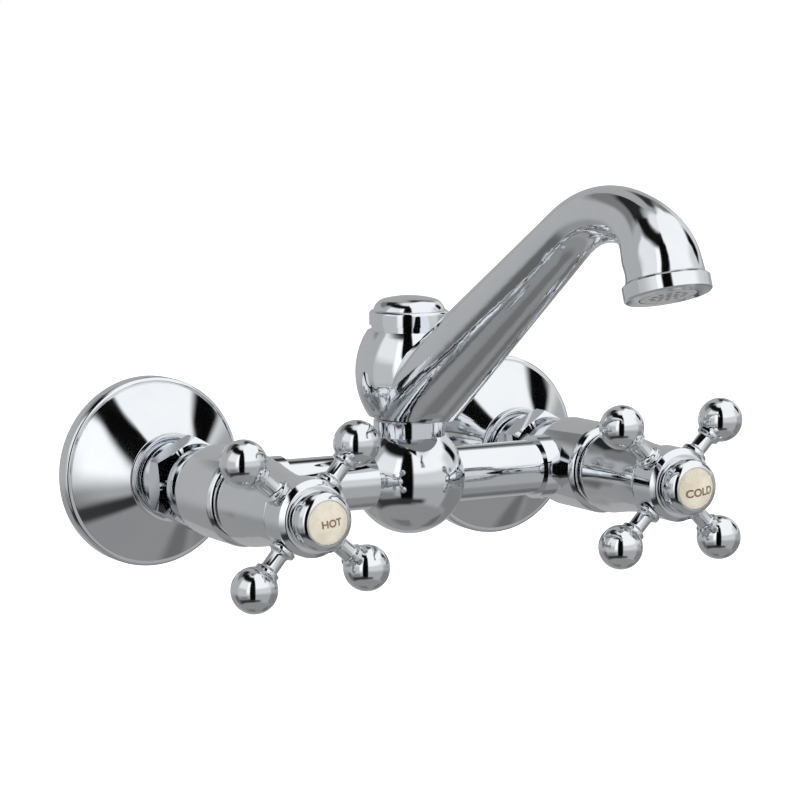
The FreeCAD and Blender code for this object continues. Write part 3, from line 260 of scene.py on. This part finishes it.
# %% Lay the floor
FLOOR_LEVEL = -0.30
FLOOR_SIZE = 14.0
FLOOR_GREY = 0.86
FLOOR_ROUGHNESS = 0.9
FLOOR_SHEEN = 0.1
GLOW = 0.36
GLOW_TO_CAMERA = 0.92
floor_mesh = bpy.data.meshes.new("floor")
sheet = bmesh.new()
bmesh.ops.create_grid(sheet, x_segments=1, y_segments=1, size=FLOOR_SIZE / 2)
bmesh.ops.translate(sheet, verts=sheet.verts[:], vec=(0, 0, FLOOR_LEVEL))
sheet.to_mesh(floor_mesh)
sheet.free()
floor = bpy.data.objects.new("floor", floor_mesh)
bpy.context.scene.collection.objects.link(floor)
floor_paint = bpy.data.materials.new("floor_paint")
floor_paint.use_nodes = True
floor_tree = floor_paint.node_tree
floor_shader = floor_tree.nodes["Principled BSDF"]
floor_shader.inputs["Base Color"].default_value = (FLOOR_GREY, FLOOR_GREY, FLOOR_GREY, 1)
floor_shader.inputs["Roughness"].default_value = FLOOR_ROUGHNESS
floor_shader.inputs["Specular IOR Level"].default_value = FLOOR_SHEEN
floor_shader.inputs["Emission Color"].default_value = (1, 1, 1, 1)
to_camera = floor_tree.nodes.new("ShaderNodeLightPath").outputs["Is Camera Ray"]
floor_glow = spread(floor_tree, to_camera, (0, 1), (GLOW, GLOW_TO_CAMERA))
floor_tree.links.new(floor_glow, floor_shader.inputs["Emission Strength"])
floor_mesh.materials.append(floor_paint)
floor.visible_glossy = False
print("floor", -FLOOR_LEVEL, "m below the inlets")

# %% Hang two soft lamps
LAMP_TARGET = Vector((0, -0.1, 0))
LAMPS = (
    # name, place, width, power in watts
    ("key_lamp", Vector((-0.9, -1.3, 1.5)), 1.2, 16),
    ("fill_lamp", Vector((1.3, -1.0, 0.9)), 1.0, 8),
)
for name, place, width, power in LAMPS:
    lamp_data = bpy.data.lights.new(name, "AREA")
    lamp_data.size = width
    lamp_data.energy = power
    lamp = bpy.data.objects.new(name, lamp_data)
    lamp.location = place
    lamp.rotation_euler = (LAMP_TARGET - place).to_track_quat("-Z", "Y").to_euler()
    lamp.visible_glossy = False
    bpy.context.scene.collection.objects.link(lamp)
print(len(LAMPS), "lamps hung")

# %% [markdown]
# ## Chrome plate
# Polished chrome on cast brass is nearly a mirror, slightly cool, and never quite flat: the polishing wheel
# leaves long shallow waves, fingers and water leave faint smudges, and wiping leaves hairlines. A plain
# metallic shader would be too perfect, so noise drives the roughness for the smudges and a very small bump
# for the waves and the hairlines. The noise reads Object coordinates, which ride with each piece, so the
# pattern stays put on it at every pose. A Bevel node could soften the edges too, but it speckles in narrow
# gaps, so the edges are rounded in the profiles instead.

# %% Helpers for finishes


def new_finish(name):
    """A material, its node tree, its shader and its Object coordinates."""
    material = bpy.data.materials.new(name)
    material.use_nodes = True
    tree = material.node_tree
    coordinates = tree.nodes.new("ShaderNodeTexCoord").outputs["Object"]
    return material, tree, tree.nodes["Principled BSDF"], coordinates


def noise(tree, vector, scale, detail=2.0, roughness=0.5, distortion=0.0):
    """A cloud of values round one half; scale is in clouds to the metre."""
    node = tree.nodes.new("ShaderNodeTexNoise")
    tree.links.new(vector, node.inputs["Vector"])
    node.inputs["Scale"].default_value = scale
    node.inputs["Detail"].default_value = detail
    node.inputs["Roughness"].default_value = roughness
    node.inputs["Distortion"].default_value = distortion
    return node.outputs["Fac"]


def squeezed(tree, coordinates, scale):
    """Coordinates squeezed along some axes, for patterns that run one way."""
    node = tree.nodes.new("ShaderNodeMapping")
    node.inputs["Scale"].default_value = scale
    tree.links.new(coordinates, node.inputs["Vector"])
    return node.outputs["Vector"]


def two_tone(tree, shader, amount, tones):
    """Let the base colour drift from one tone to the other."""
    first, second = [(*tone, 1) for tone in tones]
    tree.links.new(mixed(tree, "RGBA", amount, first, second), shader.inputs["Base Color"])


def bump(tree, height, distance, strength, under=None):
    """Relief of a height in millimetres, laid over another relief if there is one."""
    node = tree.nodes.new("ShaderNodeBump")
    node.inputs["Strength"].default_value = strength
    node.inputs["Distance"].default_value = distance * MM
    tree.links.new(height, node.inputs["Height"])
    if under is not None:
        tree.links.new(under, node.inputs["Normal"])
    return node.outputs["Normal"]


print("five finish helpers")

# %% Mix the chrome
CHROME_TONES = (0.800, 0.824, 0.848), (0.755, 0.785, 0.820)
CHROME_ROUGHNESS = (0.035, 0.095)
SMUDGE_SCALE = 55
SMUDGE_RANGE = (0.35, 0.75)
WAVE_SCALE = 30
WAVE_HEIGHT = 0.05
WAVE_STRENGTH = 0.35
HAIRLINE_SCALE = 420
HAIRLINE_SQUEEZE = (1, 1, 22)
HAIRLINE_HEIGHT = 0.0015
HAIRLINE_STRENGTH = 0.2
chrome, tree, shader, coordinates = new_finish("polished_chrome")
shader.inputs["Metallic"].default_value = 1.0
smudge = noise(tree, coordinates, SMUDGE_SCALE, detail=4, roughness=0.6, distortion=0.4)
two_tone(tree, shader, spread(tree, smudge, SMUDGE_RANGE, (0, 1)), CHROME_TONES)
tree.links.new(spread(tree, smudge, SMUDGE_RANGE, CHROME_ROUGHNESS), shader.inputs["Roughness"])
waves = bump(tree, noise(tree, coordinates, WAVE_SCALE, detail=1), WAVE_HEIGHT, WAVE_STRENGTH)
hairlines = noise(tree, squeezed(tree, coordinates, HAIRLINE_SQUEEZE), HAIRLINE_SCALE)
polish = bump(tree, hairlines, HAIRLINE_HEIGHT, HAIRLINE_STRENGTH, under=waves)
tree.links.new(polish, shader.inputs["Normal"])
print("chrome mixed from", len(tree.nodes), "nodes")

# %% [markdown]
# ## Brass, steel, ceramic, rubber and plastic
# The inside of the mixer shows little, but each of those pieces still has its own finish: brass with fine
# tool rings, stainless steel with a dull brushed skin, lapped alumina with a faint cloud, moulded rubber with
# a dusty bloom, and acetal. The brass is painted darker than bare brass, as painted shade, because it shows
# as thin lines in the shaded seams of the chrome. The white acetal is painted grey, as the painted shade it
# sits in under the aerator. Each is a shader with one noise for its colour and roughness and another for its
# relief.

# %% Mix the other finishes
CLOUD_RANGE = (0.3, 0.7)
GRAIN_SCALE = 900
GRAIN_STRENGTH = 0.6


def mottled(name, tones, scale, roughness, metallic=0.0, relief=0.01, grain=(1, 1, 1)):
    """A finish that drifts between two tones, with an uneven roughness and a fine relief."""
    material, tree, shader, coordinates = new_finish(name)
    cloud = noise(tree, coordinates, scale, detail=3)
    two_tone(tree, shader, spread(tree, cloud, CLOUD_RANGE, (0, 1)), tones)
    tree.links.new(spread(tree, cloud, CLOUD_RANGE, roughness), shader.inputs["Roughness"])
    shader.inputs["Metallic"].default_value = metallic
    grains = noise(tree, squeezed(tree, coordinates, grain), GRAIN_SCALE)
    tree.links.new(bump(tree, grains, relief, GRAIN_STRENGTH), shader.inputs["Normal"])
    return material


# The brass tones are darker than bare brass: painted shade for the seams where the brass shows.
brass = mottled("brass_darkened_as_seam_shade", ((0.44, 0.33, 0.17), (0.34, 0.25, 0.13)), 90, (0.24, 0.40),
                metallic=1.0, relief=0.02, grain=(1, 14, 1))
steel = mottled("stainless_steel", ((0.60, 0.60, 0.61), (0.50, 0.50, 0.52)), 120, (0.24, 0.38),
                metallic=1.0, grain=(1, 10, 1))
alumina = mottled("lapped_alumina", ((0.90, 0.89, 0.86), (0.84, 0.83, 0.80)), 70, (0.18, 0.30))
rubber = mottled("moulded_rubber", ((0.022, 0.022, 0.023), (0.045, 0.044, 0.043)), 160, (0.55, 0.75),
                 relief=0.03)
# The acetal tones are grey, not white: painted shade for the shaded aerator insert, used on every white
# plastic piece.
acetal = mottled("acetal_greyed_as_painted_shade", ((0.36, 0.36, 0.36), (0.30, 0.30, 0.305)), 80, (0.35, 0.50))
print("five inner finishes mixed")

# %% [markdown]
# ## Ivory porcelain
# The index buttons are small domes of glazed ivory. Glaze is a clear smooth coat over a warm, slightly
# uneven body, so the shader has a coat over a mottled cream, with a little light carried under the skin.

# %% Fire the porcelain
IVORY_TONES = (0.68, 0.62, 0.48), (0.76, 0.72, 0.60)
IVORY_SCALE = 220
IVORY_RANGE = (0.35, 0.65)
GLAZE_SCALE = 500
GLAZE_HEIGHT = 0.03
GLAZE_STRENGTH = 0.4
GLAZE = {"Roughness": 0.28, "Coat Weight": 0.8, "Coat Roughness": 0.06,
         "Subsurface Weight": 0.12, "Subsurface Scale": 0.002}
porcelain, tree, shader, coordinates = new_finish("ivory_porcelain")
body = noise(tree, coordinates, IVORY_SCALE, detail=3)
two_tone(tree, shader, spread(tree, body, IVORY_RANGE, (0, 1)), IVORY_TONES)
for socket, value in GLAZE.items():
    shader.inputs[socket].default_value = value
ripple = bump(tree, noise(tree, coordinates, GLAZE_SCALE), GLAZE_HEIGHT, GLAZE_STRENGTH)
tree.links.new(ripple, shader.inputs["Normal"])
print("porcelain fired")

# %% [markdown]
# ## Turning on a lathe
# Most of this mixer was turned or cast round an axis, so a lathe is the main tool. A profile is drawn as a
# chain of points in the XZ plane, each one a radius and a height. A corner can be rounded by bevelling its
# vertex, and a ball or a barrel comes from spinning the last point round a centre. One full spin about Z
# then makes the solid, and points closer than a seam are merged. A Screw modifier could do it too, but the
# operator leaves a plain finished mesh.

# %% The lathe
LATHE_STEPS = 128
CORNER_SEGMENTS = 5
LATHE_SEAM = 0.002


def draw_profile(shape, stops):
    """Draw a profile in millimetres.

    A stop is (radius, height), (radius, height, round) or ("arc", centre, degrees, steps).
    """
    last = None
    corners = []
    for stop in stops:
        if stop[0] == "arc":
            _, centre, degrees, steps = stop
            swept = bmesh.ops.spin(shape, geom=[last], cent=(centre[0] * MM, 0, centre[1] * MM),
                                   axis=(0, 1, 0), dvec=(0, 0, 0), angle=math.radians(degrees), steps=steps)
            last = [item for item in swept["geom_last"] if isinstance(item, bmesh.types.BMVert)][0]
            continue
        point = shape.verts.new((stop[0] * MM, 0, stop[1] * MM))
        if last is not None:
            shape.edges.new((last, point))
        if len(stop) > 2:
            corners.append((point, stop[2]))
        last = point
    for point, corner_round in corners:
        before, after = [edge.other_vert(point).co - point.co for edge in point.link_edges]
        turn = math.pi - before.angle(after)
        bmesh.ops.bevel(shape, geom=[point], offset=corner_round * MM * math.tan(turn / 2),
                        offset_type="OFFSET", segments=CORNER_SEGMENTS, profile=0.5, affect="VERTICES",
                        material=-1)


def turned(stops, steps=LATHE_STEPS):
    """Draw a profile and spin it into a closed solid round Z."""
    shape = bmesh.new()
    draw_profile(shape, stops)
    bmesh.ops.spin(shape, geom=shape.verts[:] + shape.edges[:], cent=(0, 0, 0), axis=(0, 0, 1),
                   dvec=(0, 0, 0), angle=math.tau, steps=steps, use_merge=True)
    bmesh.ops.remove_doubles(shape, verts=shape.verts[:], dist=LATHE_SEAM * MM)
    bmesh.ops.recalc_face_normals(shape, faces=shape.faces[:])
    return shape


print("the lathe turns in", LATHE_STEPS, "steps")

# %% Finish a piece
OUT_OF_WALL = Matrix.Rotation(math.radians(90), 4, "X")
VALVES = {"hot": -0.075, "cold": 0.075}
CREASE = 32


def on_valve(shape, word, station):
    """Point a turned shape out of the wall and set it on a valve's axis, station mm from the wall."""
    move = Matrix.Translation((VALVES[word], -station * MM, 0)) @ OUT_OF_WALL
    bmesh.ops.transform(shape, matrix=move, verts=shape.verts[:])
    return shape


def finished(shape, name, body, material, nodes=()):
    """Make an object of a shape: smooth, sharp at its creases, riding on its body, standing for its nodes."""
    mesh = bpy.data.meshes.new(name)
    shape.to_mesh(mesh)
    shape.free()
    mesh.materials.append(material)
    mesh.shade_smooth()
    mesh.set_sharp_from_angle(angle=math.radians(CREASE))
    piece = bpy.data.objects.new(name, mesh)
    bpy.context.scene.collection.objects.link(piece)
    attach(piece, body)
    if nodes:
        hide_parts(*nodes)
    print(name, len(mesh.polygons), "faces")


print("valve axes at", [round(across / MM) for across in VALVES.values()], "mm")

# %% [markdown]
# ## Wall flanges
# Each inlet comes out of the wall through a conical cover plate, spun from sheet brass and plated. It has a
# rounded rim, a small step, a straight cone and a grooved neck. One profile with a few bevelled corners
# gives all of that. The plate is hollow, so the profile comes back along the inside.

# %% Spin the wall flanges
FLANGE_RADIUS = 35.4
FLANGE_FOOT = FLANGE_RADIUS - 1.4
CONE_FOOT = 33.2
RIM_HEIGHT = 6.6
NECK_RADIUS = 16.4
GROOVE_RADIUS = 15.3
NECK_BORE = 13.62
NECK_BACK = 21.6
GROOVE_FRONT = 22.4
NECK_FRONT = 24.5
FLANGE_STEPS = 160
FLANGE_PROFILE = (
    (FLANGE_FOOT, 0.0),
    (FLANGE_RADIUS, 0.0, 0.3),
    (FLANGE_RADIUS, RIM_HEIGHT, 1.6),
    (CONE_FOOT, RIM_HEIGHT, 0.25),
    (CONE_FOOT, 7.1, 0.2),
    (NECK_RADIUS, NECK_BACK, 0.5),
    (GROOVE_RADIUS, NECK_BACK, 0.2),
    (GROOVE_RADIUS, GROOVE_FRONT, 0.2),
    (NECK_RADIUS, GROOVE_FRONT, 0.3),
    (NECK_RADIUS, NECK_FRONT, 0.5),
    (NECK_BORE, NECK_FRONT, 0.3),
    (NECK_BORE, 20.2),
    (31.8, 5.7),
    (34.0, 5.2),
    (FLANGE_FOOT, 0.0),
)
for word in VALVES:
    flange = on_valve(turned(FLANGE_PROFILE, FLANGE_STEPS), word, 0)
    finished(flange, word + "_flange_plate", "mixer", chrome, [word + "_wall_flange"])

# %% [markdown]
# ## Valve shrouds
# A polished bell hides each brass headwork. It has a chamfered lip and one long taper towards the handle,
# slightly hollow. Large rounds on the two corners of the profile give the hollow without a crease.

# %% Turn the shrouds
SHROUD_BACK = 88.3
SHROUD_LENGTH = 30.4
SHROUD_FOOT = 14.2
SHROUD_MOUTH = 9.3
THREAD_RADIUS = 8.66
THREAD_FRONT = 18.4
THREAD_BACK = 10.4
TAPER_ROUND = 60.0
SHROUD_PROFILE = (
    (SHROUD_FOOT, 0.0),
    (15.0, 0.0, 0.3),
    (15.7, 2.4, 1.6),
    (14.0, 11.7, TAPER_ROUND),
    (13.0, 19.7, TAPER_ROUND),
    (12.4, SHROUD_LENGTH, 0.5),
    (SHROUD_MOUTH, SHROUD_LENGTH, 0.2),
    (SHROUD_MOUTH, THREAD_FRONT),
    (THREAD_RADIUS, THREAD_FRONT),
    (THREAD_RADIUS, THREAD_BACK),
    (13.3, 8.9),
    (SHROUD_FOOT, 0.0),
)
for word in VALVES:
    shroud = on_valve(turned(SHROUD_PROFILE), word, SHROUD_BACK)
    finished(shroud, word + "_shroud_bell", "mixer", chrome, [word + "_shroud"])

# %% [markdown]
# ## Cross handles
# A handle is a round boss with four turned arms screwed into it, each with a collar, a waisted stem, a small
# ring and a ball. The boss, the bezel and the button are turned too. An arm is turned upright and then laid
# along its own direction, so all eight come from one profile.

# %% Turn the handle bosses
SLEEVE_RADIUS = 8.9
SLEEVE_LENGTH = 7.4
HUB_RADIUS = 13.4
HUB_BACK = 119.5
HUB_LENGTH = 13.5
HUB_FRONT = HUB_BACK + HUB_LENGTH
RECESS_RADIUS = 8.6
BOSS_FRONT = SLEEVE_LENGTH + HUB_LENGTH
RECESS_FLOOR = BOSS_FRONT - 4.6
HUB_PROFILE = (
    (0.0, 0.0),
    (SLEEVE_RADIUS, 0.0, 0.4),
    (SLEEVE_RADIUS, SLEEVE_LENGTH),
    (HUB_RADIUS, SLEEVE_LENGTH, 1.6),
    (HUB_RADIUS, BOSS_FRONT - 1.8),
    (11.6, BOSS_FRONT, 1.2),
    (RECESS_RADIUS, BOSS_FRONT, 0.2),
    (RECESS_RADIUS, RECESS_FLOOR),
    (0.0, RECESS_FLOOR),
)
for word in VALVES:
    boss = on_valve(turned(HUB_PROFILE), word, HUB_BACK - SLEEVE_LENGTH)
    finished(boss, word + "_handle_boss", word + "_handle", chrome, [word + "_handle_hub"])

# %% Turn the arms
STUB_RADIUS = 2.4
STUB_LENGTH = 3.4
COLLAR_RADIUS = 4.8
STEM_RADIUS = 3.1
RING_RADIUS = 4.4
BALL_RADIUS = 8.1
BALL_REACH = 30.64
ARM_START = HUB_RADIUS - STUB_LENGTH
BALL_MIDDLE = BALL_REACH - ARM_START
RING_FRONT = BALL_MIDDLE - math.sqrt(BALL_RADIUS ** 2 - RING_RADIUS ** 2)
ball_start = math.degrees(math.asin(RING_RADIUS / BALL_RADIUS))
ARM_PROFILE = (
    (0.0, 0.0),
    (STUB_RADIUS, 0.0),
    (STUB_RADIUS, STUB_LENGTH),
    (COLLAR_RADIUS, STUB_LENGTH, 0.2),
    (COLLAR_RADIUS, STUB_LENGTH + 1.6, 0.5),
    (STEM_RADIUS, STUB_LENGTH + 2.5, 1.2),
    (STEM_RADIUS, RING_FRONT - 2.0, 0.8),
    (RING_RADIUS, RING_FRONT - 1.3, 0.3),
    (RING_RADIUS, RING_FRONT),
    ("arc", (0.0, BALL_MIDDLE), -(180 - ball_start), 20),
)
ARM_STEPS = 64
ARM_STATION = HUB_BACK + 5.9
FIRST_ARM = 45
ARMS_PER_HANDLE = 4
HANDLE_TURNS = {"hot": 5.0, "cold": 0.0}
for word, turn in HANDLE_TURNS.items():
    for index in range(ARMS_PER_HANDLE):
        angle = math.radians(FIRST_ARM + turn + 360 / ARMS_PER_HANDLE * index)
        outward = Vector((math.cos(angle), 0, math.sin(angle)))
        start = outward * ARM_START * MM + Vector((VALVES[word], -ARM_STATION * MM, 0))
        arm = turned(ARM_PROFILE, ARM_STEPS)
        move = Matrix.Translation(start) @ outward.to_track_quat("Z", "Y").to_matrix().to_4x4()
        bmesh.ops.transform(arm, matrix=move, verts=arm.verts[:])
        finished(arm, f"{word}_arm_{index + 1}", word + "_handle", chrome,
                 [f"{word}_handle_arm_{index + 1}"])

# %% [markdown]
# The bezel is a bullnose ring: its side rolls over in one round until it almost faces the room, and the
# porcelain starts where the round stops. That round is why a bright strip and a black line stand beside
# each button. It is an arc in the profile, so it is spun like the arms' balls, not bevelled.

# %% Turn the bezels
SPIGOT_RADIUS = 8.54
SPIGOT_LENGTH = 4.2
BEZEL_BORE = 6.0
BEZEL_RADIUS = 10.4
BEZEL_LENGTH = 8.2
BEZEL_ROUND = 4.2
BEZEL_LEDGE = 4.4
BEZEL_LIP = 0.2
BUTTON_RADIUS = 7.5
BUTTON_SEAT = BUTTON_RADIUS + 0.06
FACE_STEPS = 96
bezel_front = SPIGOT_LENGTH + BEZEL_LENGTH
bezel_drop = BEZEL_RADIUS - BUTTON_SEAT - BEZEL_LIP
bezel_turn = math.acos(1 - bezel_drop / BEZEL_ROUND)
bezel_shoulder = bezel_front - BEZEL_ROUND * math.sin(bezel_turn)
BEZEL_PROFILE = (
    (BEZEL_BORE, 0.0),
    (SPIGOT_RADIUS, 0.0, 0.2),
    (SPIGOT_RADIUS, SPIGOT_LENGTH),
    (BEZEL_RADIUS, SPIGOT_LENGTH, 0.3),
    (BEZEL_RADIUS, bezel_shoulder),
    ("arc", (BEZEL_RADIUS - BEZEL_ROUND, bezel_shoulder), -math.degrees(bezel_turn), 14),
    (BUTTON_SEAT, bezel_front),
    (BUTTON_SEAT, SPIGOT_LENGTH + BEZEL_LEDGE),
    (BEZEL_BORE, SPIGOT_LENGTH + BEZEL_LEDGE),
    (BEZEL_BORE, 0.0),
)
for word in VALVES:
    bezel = on_valve(turned(BEZEL_PROFILE, FACE_STEPS), word, HUB_FRONT - SPIGOT_LENGTH)
    finished(bezel, word + "_bezel", word + "_handle", chrome, [word + "_index_ring"])

# %% [markdown]
# The button is a short drum under a dome, pressed and glazed in one piece. The dome is an arc of one circle,
# worked out from how wide and how high it is.

# %% Turn the buttons
BUTTON_RIM = 3.6
BUTTON_DOME = 2.9
BUTTON_BACK = HUB_FRONT + BEZEL_LEDGE
dome_radius = (BUTTON_RADIUS ** 2 + BUTTON_DOME ** 2) / (2 * BUTTON_DOME)
dome_middle = BUTTON_RIM + BUTTON_DOME - dome_radius
dome_angle = math.degrees(math.asin(BUTTON_RADIUS / dome_radius))
BUTTON_PROFILE = (
    (0.0, 0.0),
    (BUTTON_RADIUS, 0.0),
    (BUTTON_RADIUS, BUTTON_RIM),
    ("arc", (0.0, dome_middle), -dome_angle, 16),
)
for word in VALVES:
    button = on_valve(turned(BUTTON_PROFILE, FACE_STEPS), word, BUTTON_BACK)
    finished(button, word + "_porcelain_button", word + "_handle", porcelain,
             [word + "_index_button"])

# %% [markdown]
# ## Words on the buttons
# Each button says in plain brown capitals which water it turns on. A Text object is the natural start, but
# it is flat and the button is a dome. So the text is made a mesh, its faces are cut finer, and each corner
# is lifted by the height of the dome under it. It stands proud of the glaze by a few hundredths of a
# millimetre, as fired enamel does. The photograph shows only brown marks there, too blurred to read, so the
# letters are a guess. They follow the marks: larger and lower on the cold button, and sloping a little.

# %% Mix the enamel
brown_enamel = mottled("brown_enamel", ((0.19, 0.10, 0.055), (0.27, 0.155, 0.09)), 420, (0.26, 0.40))
print("enamel mixed")

# %% Write the words
LETTER_SIZE = {"hot": 3.5, "cold": 4.0}
LETTER_DROP = {"hot": 0.0, "cold": 1.1}
LETTER_BOLD = 0.11
LETTER_TURN = 7.0
LETTER_DEPTH = 0.20
LETTER_PROUD = 0.04
LETTER_SEAM = 0.001


def dome_height(across, up):
    """The dome's height in metres above the button's back, at a place on its face."""
    rise = (dome_radius * MM) ** 2 - across ** 2 - up ** 2
    return dome_middle * MM + math.sqrt(rise)


def lettering(word):
    """A word as a closed mesh that follows the dome of a button."""
    written = bpy.data.curves.new(word + "_letters", "FONT")
    written.body = word.upper()
    written.size = LETTER_SIZE[word] * MM
    written.offset = LETTER_BOLD * MM
    written.extrude = LETTER_DEPTH / 2 * MM
    written.align_x = "CENTER"
    written.align_y = "CENTER"
    holder = bpy.data.objects.new(word + "_letters", written)
    flat = bpy.data.meshes.new_from_object(holder)
    shape = bmesh.new()
    shape.from_mesh(flat)
    bpy.data.objects.remove(holder)
    bpy.data.curves.remove(written)
    bpy.data.meshes.remove(flat)
    bmesh.ops.remove_doubles(shape, verts=shape.verts[:], dist=LETTER_SEAM * MM)
    bmesh.ops.triangulate(shape, faces=shape.faces[:])
    bmesh.ops.subdivide_edges(shape, edges=shape.edges[:], cuts=2, use_grid_fill=True)
    bmesh.ops.rotate(shape, verts=shape.verts[:], cent=(0, 0, 0),
                     matrix=Matrix.Rotation(math.radians(LETTER_TURN), 3, "Z"))
    bmesh.ops.translate(shape, verts=shape.verts[:], vec=(0, -LETTER_DROP[word] * MM, 0))
    for corner in shape.verts:
        corner.co.z += dome_height(corner.co.x, corner.co.y) + (LETTER_PROUD - LETTER_DEPTH / 2) * MM
    return shape


for word in VALVES:
    letters = on_valve(lettering(word), word, BUTTON_BACK)
    finished(letters, word + "_lettering", word + "_handle", brown_enamel)

# %% [markdown]
# ## The solids that stay
# Everything else keeps its CAD mesh. That mesh is made of loose triangles, so a Weld modifier joins them, an
# Edge Split modifier keeps the creases crisp, and smooth shading rounds what lies between. The vertices
# themselves aren't touched.

# %% Dress the remaining nodes
CAD_SEAM = 0.003
FINISH_OF_SLOT = {"chrome": chrome, "brass": brass, "stainless_steel": steel, "alumina_ceramic": alumina,
                  "rubber": rubber, "white_plastic": acetal, "porcelain": porcelain}
for part in frame["record"]["subparts"]:
    node = frame["nodes"][part["node"]]
    node.data.materials.clear()
    node.data.materials.append(FINISH_OF_SLOT[part["material_slot"]])
    node.data.polygons.foreach_set("use_smooth", [True] * len(node.data.polygons))
    weld = node.modifiers.new("join", "WELD")
    weld.merge_threshold = CAD_SEAM * MM
    split = node.modifiers.new("creases", "EDGE_SPLIT")
    split.split_angle = math.radians(CREASE)
